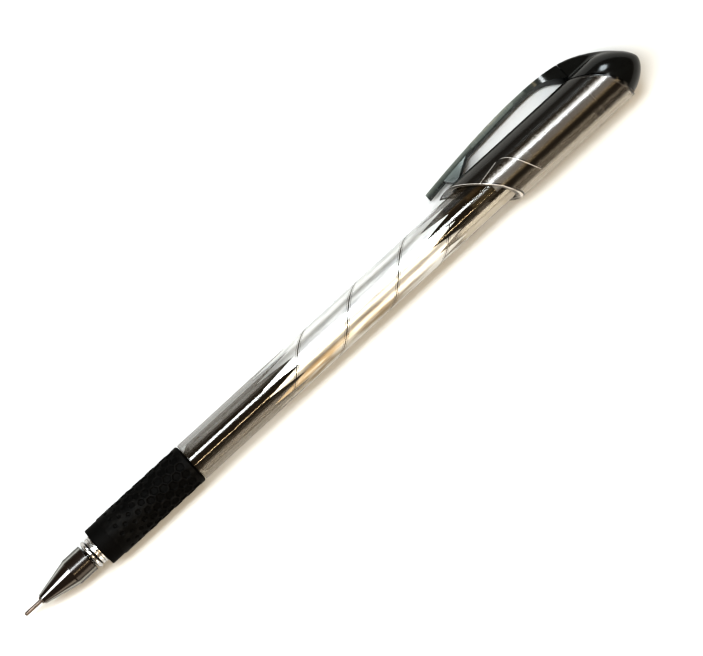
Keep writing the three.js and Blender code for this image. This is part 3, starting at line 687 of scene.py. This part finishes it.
def turned(profile, steps=96):
    """Spins a closed outline of (along, radius) points once around the pen's axis."""
    shape = bmesh.new()
    corners = [shape.verts.new((along, radius, 0)) for along, radius in profile]
    edges = [shape.edges.new((a, b)) for a, b in zip(corners, corners[1:] + corners[:1])]
    bmesh.ops.spin(shape, geom=corners + edges, cent=(0, 0, 0), axis=(1, 0, 0), angle=2 * math.pi,
                   steps=steps, use_merge=True)
    bmesh.ops.remove_doubles(shape, verts=shape.verts, dist=1e-4)
    bmesh.ops.recalc_face_normals(shape, faces=shape.faces)
    return shape


def eased(shape, width, segments=2, sharpest=math.radians(28), before=math.inf):
    """Rounds every edge that is sharper than the given angle and starts before a place."""
    sharp = [edge for edge in shape.edges
             if len(edge.link_faces) == 2 and edge.calc_face_angle(0) > sharpest
             and min(vert.co.x for vert in edge.verts) < before]
    bmesh.ops.bevel(shape, geom=sharp, offset=width, affect="EDGES", segments=segments,
                    profile=0.5, material=-1, clamp_overlap=True)
    return shape


def lofted(sections):
    """Extrudes a ring through sections of (x, y, z) points, all with the same count, and
    closes both ends."""
    shape = bmesh.new()
    count = len(sections[0])
    start = bmesh.ops.create_circle(shape, cap_ends=False, radius=1, segments=count)["verts"]
    order = {vert: i for i, vert in enumerate(start)}
    for vert, i in order.items():
        vert.co = sections[0][i]
    first = edges = list(shape.edges)
    for section in sections[1:]:
        made = bmesh.ops.extrude_edge_only(shape, edges=edges)["geom"]
        fresh = [item for item in made if isinstance(item, bmesh.types.BMVert)]
        edges = [item for item in made if isinstance(item, bmesh.types.BMEdge)]
        before, order = order, {}
        for vert in fresh:
            root = next(edge.other_vert(vert) for edge in vert.link_edges
                        if edge.other_vert(vert) in before)
            order[vert] = before[root]
            vert.co = section[order[vert]]
    for rim in (first, edges):
        bmesh.ops.holes_fill(shape, edges=rim, sides=0)
    bmesh.ops.recalc_face_normals(shape, faces=shape.faces)
    return shape


def spread(start, end, count):
    """Even steps from start to end, both included."""
    return [start + (end - start) * i / count for i in range(count + 1)]


def added(name, data):
    """A new object in the scene."""
    made = bpy.data.objects.new(name, data)
    bpy.context.scene.collection.objects.link(made)
    return made


def shown(name, shape, finish):
    """Puts a drawn shape and its finish in the scene."""
    mesh = bpy.data.meshes.new(name)
    shape.to_mesh(mesh)
    shape.free()
    mesh.materials.append(finish)
    return added(name, mesh)


def piece(name, shape, finish, body, node, at=0.0, sharp=32, carried=()):
    """Lays a drawn shape in the pen's place and shows it for its CAD node. Each carried
    measure is a name and a function of a point, whose value the shape's points keep."""
    for measure, value_at in carried:
        layer = shape.verts.layers.float.new(measure)
        for vert in shape.verts:
            vert[layer] = value_at(vert.co)
    bmesh.ops.transform(shape, matrix=PEN @ Matrix.Translation((at, 0, 0)), verts=shape.verts)
    made = shown(name, shape, finish)
    made.data.shade_smooth()
    made.data.set_sharp_from_angle(angle=math.radians(sharp))
    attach(made, body)
    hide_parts(node)
    return made


# Writing tip

def writing_ball():
    arc = [(BALL_RADIUS * (1 - math.cos(a)), BALL_RADIUS * math.sin(a))
           for a in spread(0, math.pi, 24)]
    return piece("rolling_ball", turned(arc, 40), polished_ball(), "ball", "writing_ball")


def needle_pipe():
    """The needle with its tapered lip around the ball and fine turning rings outside."""
    lip = math.sqrt(BALL_RADIUS ** 2 - (BALL_RADIUS - BALL_SHOW) ** 2) + BALL_PLAY
    socket = BALL_RADIUS + BALL_PLAY
    socket_end = 2 * BALL_RADIUS + BALL_PLAY - BALL_SHOW
    length = NEEDLE_REACH - BALL_SHOW + NEEDLE_SET
    outline = [(0, lip + LIP_WALL), (0.08, lip + LIP_WALL + 0.05), (NEEDLE_TAPER, NEEDLE_RADIUS)]
    ribbed_to = NEEDLE_REACH - BALL_SHOW
    ribs = int((ribbed_to - NEEDLE_TAPER) / NEEDLE_RIB)
    for i in range(1, ribs):
        at = NEEDLE_TAPER + i * NEEDLE_RIB
        outline += [(at - NEEDLE_RING, NEEDLE_RADIUS), (at, NEEDLE_RADIUS - NEEDLE_RING_DEPTH),
                    (at + NEEDLE_RING, NEEDLE_RADIUS)]
    outline += [(length, NEEDLE_RADIUS), (length, NEEDLE_BORE),
                (socket_end + BALL_PLAY, NEEDLE_BORE), (socket_end, socket), (BALL_SHOW, socket),
                (0, lip)]
    return piece("needle", turned(outline, 48), needle_steel(), "barrel", "needle_pipe", BALL_SHOW)


def tip_holder():
    neck_end = cone_start(HOLDER_NECK_RADIUS + FIT) + HOLDER_NECK_SHOW
    cone_end = cone_start(TUBE_RADIUS + FIT) + HOLDER_NECK_SHOW
    spigot_at = cone_end + HOLDER_REST
    end = spigot_at + HOLDER_SPIGOT_LENGTH
    outline = [
        (0, HOLDER_NECK_RADIUS - HOLDER_EDGE), (HOLDER_EDGE, HOLDER_NECK_RADIUS),
        (neck_end, HOLDER_NECK_RADIUS), (cone_end, TUBE_RADIUS), (spigot_at, TUBE_RADIUS),
        (spigot_at, TUBE_BORE - FINE_FIT), (end, TUBE_BORE - FINE_FIT), (end, HOLDER_CHANNEL),
        (NEEDLE_SET + FINE_FIT, HOLDER_CHANNEL), (NEEDLE_SET + FINE_FIT, NEEDLE_RADIUS + FINE_FIT),
        (0, NEEDLE_RADIUS + FINE_FIT),
    ]
    shape = eased(turned(braced(outline), 64), 0.03)
    return piece("needle_holder", shape, holder_steel(), "barrel", "tip_holder", NEEDLE_REACH)


# Ink

def ink_tube():
    outline = [(0, TUBE_RADIUS), (TUBE_LENGTH, TUBE_RADIUS), (TUBE_LENGTH, TUBE_BORE),
               (0, TUBE_BORE)]
    shape = eased(turned(braced(outline), 64), 0.08)
    return piece("refill_tube", shape, tube_plastic(), "barrel", "ink_tube", TUBE_AT)


def filling(name, node, at, length, finish, hollow):
    """A column in the tube, with ends that are hollowed by a meniscus."""
    radius = TUBE_BORE - INK_PLAY
    front = [(hollow * (1 - (r / radius) ** 2), r) for r in spread(0, radius, 6)]
    rear = [(length - hollow * (1 - (r / radius) ** 2), r) for r in spread(radius, 0, 6)]
    return piece(name, turned(front + rear, 48), finish, "barrel", node, at)


# Nose, bead ring and collar

def nose_cone():
    band_at = NOSE_CONE_LENGTH + NOSE_STEP
    socket = SPIGOT_RADIUS + FIT
    bore = HOLDER_NECK_RADIUS + FIT
    outline = [
        (0, NOSE_FRONT_RADIUS), (NOSE_CONE_LENGTH, NOSE_SHOULDER_RADIUS),
        (band_at, NOSE_BAND_RADIUS), (NOSE_LENGTH, NOSE_BAND_RADIUS), (NOSE_LENGTH, socket),
        (cone_start(socket), socket), (cone_start(bore), bore), (0, bore),
    ]
    shape = eased(turned(braced(outline), 128), 0.09, 3)
    return piece("front_cone", shape, smoked_nose(), "nose", "nose_cone", NOSE_AT, 40)


def bead_ring():
    round_off = BEAD_RING_LENGTH / 2
    flank = BEAD_RING_RADIUS - round_off
    bore = SPIGOT_RADIUS + FIT
    outline = [(round_off - round_off * math.cos(a), flank + round_off * math.sin(a))
               for a in spread(0, math.pi, 20)]
    outline += [(BEAD_RING_LENGTH, bore), (0, bore)]
    shape = turned(outline, 128)
    finish = bright_plating("bead_ring_plating", 0.17)
    return piece("rounded_ring", shape, finish, "ring", "bead_ring", BEAD_RING_AT, 50)


def grip_collar():
    bore = SPIGOT_RADIUS + FIT
    groove = COLLAR_RADIUS - 0.07
    outline = [
        (0, COLLAR_RADIUS), (0.62, COLLAR_RADIUS), (0.68, groove), (0.8, groove),
        (0.86, COLLAR_RADIUS), (COLLAR_LENGTH, COLLAR_RADIUS), (COLLAR_LENGTH, bore), (0, bore),
    ]
    shape = eased(turned(braced(outline), 128), 0.06, 3)
    finish = bright_plating("collar_plating", 0.24)
    return piece("bright_collar", shape, finish, "barrel", "grip_collar", COLLAR_AT, 45)


# Grip

def wave_line(angle):
    """Where the honeycomb's front edge runs, from the grip's front."""
    return WAVE_AT + WAVE_SWING * math.sin(2 * (angle - WAVE_TURN))


def cell_pocket(along, angle):
    """Depth of the honeycomb at a point of the grip's surface."""
    pitch = 2 * math.pi * GRIP_RADIUS / CELLS_AROUND
    column_pitch = 1.5 * pitch / math.sqrt(3)
    column = round((GRIP_LENGTH - CELL_MARGIN - along) / column_pitch)
    deepest = 0
    for near in (column - 1, column, column + 1):
        if not 0 <= near < CELL_COLUMNS:
            continue
        offset = (near % 2) / 2
        turn = angle / (2 * math.pi) * CELLS_AROUND - offset
        cell = round(turn)
        centre = GRIP_LENGTH - CELL_MARGIN - near * column_pitch
        ahead = wave_line((cell + offset) / CELLS_AROUND * 2 * math.pi) - centre
        size = 1 - min(1, max(0, ahead / CELL_FADE)) * (1 - SMALLEST_CELL)
        flat = size * (pitch / 2 - CELL_RIB / 2)
        dx = abs(along - centre)
        dy = abs(turn - cell) * pitch
        inside = max(dy, dx * math.cos(math.pi / 6) + dy * 0.5)
        share = min(1, max(0, (flat - inside) / CELL_SLOPE + 0.35))
        deepest = max(deepest, share * share * (3 - 2 * share) * min(1, size * 1.2))
    return deepest * CELL_DEPTH


def wave_ridge(along, angle):
    """Height of the low ridge along the honeycomb's front edge."""
    gap = abs(along - wave_line(angle)) / WAVE_RIDGE_WIDTH
    return WAVE_RIDGE * max(0, 1 - gap * gap)


def rubber_grip():
    """The rubber sleeve, with its pockets pressed into the turned shape."""
    bore = CORE_RADIUS + FIT
    rear = GRIP_LENGTH - GRIP_REAR_ROUND
    shoulder = GRIP_RADIUS - GRIP_REAR_ROUND
    outline = [
        (0, GRIP_FRONT_RADIUS - 0.12), (0.05, GRIP_FRONT_RADIUS - 0.04), (0.14, GRIP_FRONT_RADIUS),
        (GRIP_FRONT_BAND - 0.3, GRIP_FRONT_RADIUS),
        (GRIP_FRONT_BAND - 0.1, GRIP_FRONT_RADIUS - 0.03),
        (GRIP_FRONT_BAND + 0.12, GRIP_RADIUS - 0.04),
    ]
    outline += [(along, GRIP_RADIUS) for along in spread(GRIP_FRONT_BAND + 0.25, rear, 176)]
    outline += [(rear + GRIP_REAR_ROUND * math.sin(a), shoulder + GRIP_REAR_ROUND * math.cos(a))
                for a in spread(0.2, math.pi / 2, 7)]
    outline += [(GRIP_LENGTH, bore), (0, bore)]
    shape = turned(outline, STEPS_PER_CELL * CELLS_AROUND)
    for vert in shape.verts:
        reach = math.hypot(vert.co.y, vert.co.z)
        if reach < GRIP_RADIUS - 0.02 or vert.co.x < GRIP_FRONT_BAND:
            continue
        angle = math.atan2(vert.co.z, vert.co.y)
        lift = wave_ridge(vert.co.x, angle) - cell_pocket(vert.co.x, angle)
        vert.co.yz = vert.co.yz * ((reach + lift) / reach)
    return piece("honeycomb_grip", shape, grip_rubber(), "barrel", "rubber_grip", GRIP_AT, 60)


# Barrel and plug

def barrel():
    core_at = GRIP_AT - SPIGOT_AT
    body_at = STEP_AT - SPIGOT_AT
    end = BARREL_END - SPIGOT_AT
    outline = [
        (0, SPIGOT_RADIUS), (core_at, SPIGOT_RADIUS), (core_at, CORE_RADIUS),
        (body_at, CORE_RADIUS), (body_at, BARREL_RADIUS), (end, BARREL_RADIUS), (end, BARREL_BORE),
        (body_at + BORE_TAPER, BARREL_BORE), (body_at, CORE_BORE),
        (core_at + BORE_TAPER, CORE_BORE), (core_at, SPIGOT_BORE), (0, SPIGOT_BORE),
    ]
    shape = eased(turned(braced(outline), 128), 0.14, 3)
    return piece("smoky_barrel", shape, smoky_barrel_finish(), "barrel", "barrel", SPIGOT_AT, 40)


def end_plug():
    insert = BARREL_BORE - FIT
    groove = insert - 0.12
    end = PLUG_SET + PLUG_FLANGE_LENGTH
    outline = [
        (0, insert), (1.4, insert), (1.55, groove), (1.8, groove), (1.95, insert),
        (PLUG_SET, insert), (PLUG_SET, PLUG_FLANGE_RADIUS), (end, PLUG_FLANGE_RADIUS),
        (end, VENT_RADIUS), (end - PLUG_FLOOR, VENT_RADIUS), (end - PLUG_FLOOR, insert - PLUG_WALL),
        (0, insert - PLUG_WALL),
    ]
    shape = eased(turned(braced(outline), 96), 0.16, 3)
    finish = tinted("end_plug_plastic", grey(0.006), grey(0.016), 0.3, 1.2)
    return piece("vented_plug", shape, finish, "barrel", "end_plug", PLUG_AT, 40)


# Cap

def bent(height, start, middle, end):
    """Place along a quadratic bend at a height. The points are (along, height)."""
    a = start[1] - 2 * middle[1] + end[1]
    b = 2 * (middle[1] - start[1])
    c = start[1] - height
    if abs(a) < 1e-9:
        share = -c / b
    else:
        root = math.sqrt(max(0, b * b - 4 * a * c))
        share = min(((-b + root) / (2 * a), (-b - root) / (2 * a)), key=lambda t: abs(t - 0.5))
    share = min(1, max(0, share))
    rest = 1 - share
    return rest * rest * start[0] + 2 * rest * share * middle[0] + share * share * end[0]


def mouth_at(height):
    """Where the cap's slanted mouth lies, at a height above the axis."""
    slant_from = TONGUE_ROUND - TONGUE_REACH
    slant_to = slant_from + MOUTH_SLANT
    if height >= TONGUE_HEIGHT:
        middle = (slant_from - TONGUE_ROUND / 2, CAP_RADIUS)
        return bent(height, (slant_from, TONGUE_HEIGHT), middle, (-TONGUE_REACH, CAP_RADIUS))
    if height >= MOUTH_FOOT:
        return slant_from + MOUTH_SLANT * (TONGUE_HEIGHT - height) / (TONGUE_HEIGHT - MOUTH_FOOT)
    middle = (slant_to + MOUTH_HEEL / 2, MOUTH_HEEL / 2 - CAP_RADIUS)
    return bent(height, (slant_to, MOUTH_FOOT), middle, (slant_to + MOUTH_HEEL, -CAP_RADIUS))


def seam_at(height):
    """Where the seam between the sleeve and the black head lies."""
    turn_at = SEAM_CREST + SEAM_SLANT
    heel_at = turn_at + SEAM_HEEL
    if height >= CAP_RADIUS:
        return SEAM_CREST
    if height >= SEAM_TURN:
        return SEAM_CREST + SEAM_SLANT * (CAP_RADIUS - height) / (CAP_RADIUS - SEAM_TURN)
    return bent(height, (heel_at, -CAP_RADIUS), (heel_at, -CAP_RADIUS / 2), (turn_at, SEAM_TURN))


def cap_sleeve():
    """A tube drawn from 0 to 1, then stretched between the slanted mouth and the seam."""
    levels = [0, 0.004, 0.012] + spread(0.03, 0.97, 46) + [0.99, 1]
    outline = [(level, CAP_RADIUS) for level in levels]
    outline += [(level, CAP_BORE) for level in reversed(levels)]
    shape = turned(outline, 144)
    for vert in shape.verts:
        front, rear = mouth_at(vert.co.y), seam_at(vert.co.y)
        vert.co.x = front + (rear - front) * vert.co.x
    eased(shape, 0.07, 2, math.radians(50))
    carried = (("from_mouth", lambda point: point.x - mouth_at(point.y)),
               ("from_seam", lambda point: seam_at(point.y) - point.x))
    return piece("smoky_sleeve", shape, smoky_cap_finish(), "cap", "cap_sleeve", CAP_AT, 40,
                 carried)


def back_height(along):
    """Height of the clip's back, and of the ridge that carries its line over the head."""
    past = along - CLIP_CREST_AT
    run = CLIP_CREST_AT - CLIP_FREE_END
    if past < 0:
        return CLIP_CREST - CLIP_FRONT_FALL * (-past / run) ** CLIP_FRONT_CURVE
    return CLIP_CREST - CLIP_REAR_FALL * (past / CLIP_REAR_RUN) ** CLIP_REAR_CURVE


def inner_height(along):
    """Height of the clip's inner face: it follows the back, runs flat, then arches down."""
    flat_low = back_height(CLIP_FLAT_FROM) - CLIP_THICKNESS
    flat_high = back_height(CLIP_FLAT_TO) - CLIP_THICKNESS
    if along <= CLIP_FLAT_FROM:
        return back_height(along) - CLIP_THICKNESS
    if along <= CLIP_FLAT_TO:
        share = (along - CLIP_FLAT_FROM) / (CLIP_FLAT_TO - CLIP_FLAT_FROM)
        return flat_low + share * (flat_high - flat_low)
    arch = max(0, (along - CLIP_ARCH_FROM) / (CLIP_ROOT - CLIP_ARCH_FROM))
    fall = back_height(CLIP_ROOT) - CLIP_THICKNESS - CAP_RADIUS - CLIP_ROOT_LIFT
    return back_height(along) - CLIP_THICKNESS - fall * min(1, arch) ** 2


def clip_section(along, inner_width):
    """The clip's section: a flat inner face and a wider, crowned back."""
    low, high = inner_height(along), back_height(along)
    section = [(along, low, inner_width / 2), (along, low, -inner_width / 2)]
    for side in spread(-1, 1, 10):
        section.append((along, high - CLIP_CROWN * side ** 2, side * CLIP_BACK_WIDTH / 2))
    return section


def slanted(shape, face, side):
    """Slants the clip's root or the ridge's front, which then hide the seam between them."""
    for vert in shape.verts:
        away = (vert.co.x - face) * side
        if away > -ROOT_MARGIN and vert.co.y > CAP_RADIUS - ROOT_DEPTH:
            near = max(0, 1 - max(0, away) / ROOT_BLEND)
            beside = min(1, max(0, (ROOT_HALF - abs(vert.co.z)) / ROOT_FADE))
            vert.co.x += near * beside * ROOT_SLANT * vert.co.z


def cap_clip():
    """The clip with its bead. Its root leans back, so that it clears the head as it opens."""
    root = RIDGE_AT - ROOT_GAP
    places = spread(CLIP_FREE_END, CLIP_ARCH_FROM, 54) + spread(CLIP_ARCH_FROM, root, 18)[1:]
    sections = []
    for along in places:
        rooted = max(0, (along - CLIP_ARCH_FROM) / (root - CLIP_ARCH_FROM))
        width = CLIP_INNER_WIDTH + (CLIP_BACK_WIDTH - CLIP_INNER_WIDTH) * rooted
        sections.append(clip_section(along, width))
    shape = eased(lofted(sections), 0.07, 2, math.radians(40), CLIP_EASED_TO)
    clip_bead(shape)
    for vert in shape.verts:
        share = max(0, 1 - (root - vert.co.x) / ROOT_BLEND)
        vert.co.x -= share * max(0, vert.co.y - CLIP_PIVOT_HEIGHT) * math.tan(CLIP_SWING)
    slanted(shape, root, -1)

    def flank(point):
        """1 on the clip's slanted sides, less on the bead, 0 on its back and inner face."""
        low, high = inner_height(point.x), back_height(point.x) - CLIP_CROWN
        rise = (point.y - low) / max(0.1, high - low)
        if rise < -0.1:
            return 0.5
        return min(1, max(0, min(rise, 1 - rise) * 8 + 0.5))

    finish = black_gloss("clip_gloss", CLIP_ROUGHNESS)
    return piece("arched_clip", shape, finish, "clip", "cap_clip", CAP_AT, 30, (("flank", flank),))


def clip_bead(shape):
    """Adds the wedge under the clip's free end to the clip's shape."""
    front = CLIP_FREE_END + BEAD_FRONT
    rear = front + BEAD_LENGTH
    tip = CAP_RADIUS + BEAD_LIFT
    buried = CLIP_THICKNESS / 2
    outline = [
        (front, inner_height(front) + buried), (front, inner_height(front)),
        (front + BEAD_TIP_FROM, tip), (front + BEAD_TIP_FROM + BEAD_TIP_LENGTH, tip),
        (rear, inner_height(rear)), (rear, inner_height(rear) + buried),
    ]
    wedge = bmesh.new()
    corners = [wedge.verts.new((x, y, -CLIP_INNER_WIDTH / 2)) for x, y in outline]
    face = wedge.faces.new(corners)
    made = bmesh.ops.extrude_face_region(wedge, geom=[face])["geom"]
    moved = [item for item in made if isinstance(item, bmesh.types.BMVert)]
    bmesh.ops.translate(wedge, vec=(0, 0, CLIP_INNER_WIDTH), verts=moved)
    bmesh.ops.recalc_face_normals(wedge, faces=wedge.faces)
    eased(wedge, 0.14, 3)
    loose = bpy.data.meshes.new("clip_bead")
    wedge.to_mesh(loose)
    wedge.free()
    shape.from_mesh(loose)
    bpy.data.meshes.remove(loose)


def blended(a, b, fillet):
    """The larger of two lengths, eased where they are nearly the same."""
    near = max(0, 1 - abs(a - b) / fillet)
    return max(a, b) + near * near * fillet / 4


def head_point(along, share):
    """A point of the head's section: an oval with the clip's ridge over it, where the points
    crowd together."""
    closed = max(0, (along - HEAD_SHOULDER) / HEAD_LENGTH)
    open_share = max(1e-6, 1 - min(1, closed) ** HEAD_HOLD)
    top = -APEX_DROP + (CAP_RADIUS + APEX_DROP) * open_share ** HEAD_BLUNT_TOP
    bottom = -APEX_DROP - (CAP_RADIUS - APEX_DROP) * open_share ** HEAD_BLUNT_BOTTOM
    half = CAP_RADIUS * open_share ** HEAD_BLUNT_SIDE
    middle = (top + bottom) / 2
    turn = 2 * math.pi * share
    angle = turn - HEAD_CROWDING * math.sin(turn)
    up, out = abs(math.cos(angle)), abs(math.sin(angle))
    radius = 1 / math.hypot(up / ((top - bottom) / 2), out / half)
    if RIDGE_AT + 0.01 < along < RIDGE_END and math.cos(angle) > 0:
        grown = (along - CLIP_ROOT) / (RIDGE_END - CLIP_ROOT)
        ridge_half = (CLIP_BACK_WIDTH + (RIDGE_END_WIDTH - CLIP_BACK_WIDTH) * grown) / 2
        ridge_top = back_height(along) - middle
        power = RIDGE_SQUARENESS + (RIDGE_END_SQUARENESS - RIDGE_SQUARENESS) * grown
        bar = ((up / ridge_top) ** power + (out / ridge_half) ** power) ** (-1 / power)
        radius = blended(radius, bar, RIDGE_FILLET * (1 - grown ** 4))
    return (along, middle + radius * math.cos(angle), radius * math.sin(angle))


def cap_head():
    """The head in one surface: its pocket for the liner, its inner sleeve, its slanted seam,
    and its outside with the ridge that carries the clip's line."""
    shares = spread(0, 1, 96)[1:]
    crest = SEAM_CREST + SEAM_GAP
    outer_end = HEAD_SHOULDER + SEAM_FADE
    ridge_level = (RIDGE_AT - crest) / (outer_end - crest)
    levels = [0, 0.008, ridge_level * 0.5, ridge_level, ridge_level + 0.003]
    levels += spread(ridge_level + 0.04, 1, 16)

    def seamed(level, share):
        """A point of the outside, from 0 at the slanted seam to 1 where it has faded."""
        along = outer_end
        for _ in range(8):
            seam = seam_at(head_point(along, share)[1]) + SEAM_GAP
            along = seam + (outer_end - seam) * level
        return head_point(along, share)

    inner = CAP_BORE - FIT / 2
    pocket = LINER_BORE + LINER_WALL + FIT
    floor = LINER_LENGTH + FACE_GAP
    seam_ring = [seamed(0, share) for share in shares]

    def ring(radius, along=None):
        """A round ring inside the head, at a place or along the slanted seam."""
        points = []
        for x, y, z in seam_ring:
            reach = math.hypot(y, z)
            points.append((x if along is None else along, y * radius / reach, z * radius / reach))
        return points

    sections = [ring(pocket, floor), ring(pocket, 0), ring(inner, 0), ring(inner)]
    sections += [[seamed(level, share) for share in shares] for level in levels]
    start_turn = math.asin((outer_end - HEAD_SHOULDER) / HEAD_LENGTH)
    for turn in spread(start_turn, math.pi / 2 * HEAD_LAST_RING, 20)[1:]:
        along = HEAD_SHOULDER + HEAD_LENGTH * math.sin(turn)
        sections.append([head_point(along, share) for share in shares])
    shape = lofted(sections)
    slanted(shape, RIDGE_AT, 1)
    finish = black_gloss("head_gloss", HEAD_ROUGHNESS)
    return piece("black_head", shape, finish, "cap", "cap_head", CAP_AT, 38)


def cap_liner():
    outer = LINER_BORE + LINER_WALL
    floor = LINER_LENGTH - LINER_FLOOR
    outline = [
        (0, outer), (LINER_LENGTH, outer), (LINER_LENGTH, 0), (floor, 0), (floor, LINER_BORE),
        (0, LINER_BORE),
    ]
    shape = eased(turned(braced(outline), 96), 0.12, 2)
    finish = tinted("liner_plastic", (0.6, 0.57, 0.5, 1), (0.72, 0.7, 0.64, 1), 0.4, 1.5)
    return piece("tip_seal_cup", shape, finish, "cap", "cap_liner", CAP_AT)


# Table, light and camera

TABLE_HALF = 2.5
PANEL_REACH = 0.6
DAYLIGHT = (0.94, 0.98, 1)
COOL = (0.88, 0.96, 1)
WARM = (1, 0.9, 0.76)
AMBER = (1, 0.82, 0.56)
CREAM = (1, 0.89, 0.76)


def table():
    shape = bmesh.new()
    bmesh.ops.create_grid(shape, x_segments=2, y_segments=2, size=TABLE_HALF)
    paint = Finish("table_white")
    cloud = paint.speckle(paint.node("ShaderNodeTexCoord", {}, {}, "Object"), 3, 3)
    tone = paint.mix(cloud, (0.375, 0.382, 0.388, 1), (0.385, 0.392, 0.396, 1))
    top = shown("table_top", shape, paint.finished(Base_Color=tone, Roughness=0.9))


def lamp(name, shape, place, turn, size, power, colour):
    data = bpy.data.lights.new(name, "AREA")
    data.shape = shape
    data.size, data.size_y = size
    data.energy = power
    data.color = colour
    made = added(name, data)
    made.location = place
    made.rotation_euler = turn
    return made


def soft_panel(name, lean, spot, size, power, colour):
    """A soft light over the pen, turned along it. It leans from straight up towards the clip
    side, in degrees, and lies at a spot along the pen, in metres."""
    angle = math.radians(lean)
    place = (spot, PANEL_REACH * math.sin(angle), PANEL_REACH * math.cos(angle))
    return lamp(name, "RECTANGLE", place, (-angle, 0, 0), size, power, colour)


def round_light(name, place, size, power, colour):
    """A round soft light that faces the middle of the pen."""
    turn = Vector(place).to_track_quat("Z", "Y").to_euler()
    return lamp(name, "DISK", place, turn, (size, size), power, colour)


def lighting():
    world = bpy.data.worlds.new("studio")
    world.use_nodes = True
    backdrop = world.node_tree.nodes["Background"]
    backdrop.inputs["Color"].default_value = (1, 0.87, 0.72, 1)
    backdrop.inputs["Strength"].default_value = 0.22
    bpy.context.scene.world = world
    soft_panel("long_strip", 16, 0.0, (0.46, 0.13), 2.6, DAYLIGHT)
    soft_panel("window", 24, -0.45, (0.3, 0.3), 3.9, DAYLIGHT)
    soft_panel("warm_strip", -23, 0.0, (0.6, 0.022), 0.85, AMBER)
    soft_panel("warm_side", -72, 0.0, (0.7, 0.3), 1.5, WARM)
    round_light("head_glint", (0.225, 0.46, 0.33), 0.24, 1.3, COOL)
    for name, spot in (("tip_fill", -1.0), ("head_fill", 1.0)):
        fill = round_light(name, (spot, -0.05, 0.6), 1.2, 10, CREAM)
        fill.visible_glossy = False


def camera():
    data = bpy.data.cameras.new("photo_view")
    data.lens = 653
    data.sensor_width = 36
    spot = added("photo_view", data)
    spot.location = (0.00397, -0.00394, 2.5045)
    spot.rotation_euler = (0, 0, math.radians(-42.54))
    bpy.context.scene.camera = spot


writing_ball()
needle_pipe()
tip_holder()
ink_tube()
filling("black_ink", "ink_column", INK_AT, INK_LENGTH,
        tinted("pen_ink", grey(0.002), grey(0.006), 0.2, 2), 0.3)
filling("grease_plug", "grease_follower", GREASE_AT, GREASE_LENGTH,
        tinted("grease", (0.16, 0.13, 0.06, 1), (0.24, 0.2, 0.1, 1), 0.25, 2.5, 0.85), 0.5)
nose_cone()
bead_ring()
grip_collar()
rubber_grip()
barrel()
end_plug()
cap_sleeve()
cap_head()
cap_liner()
cap_clip()
table()
lighting()
camera()
bpy.context.scene.view_settings.view_transform = "Standard"
bpy.context.scene.view_settings.look = "Very High Contrast"
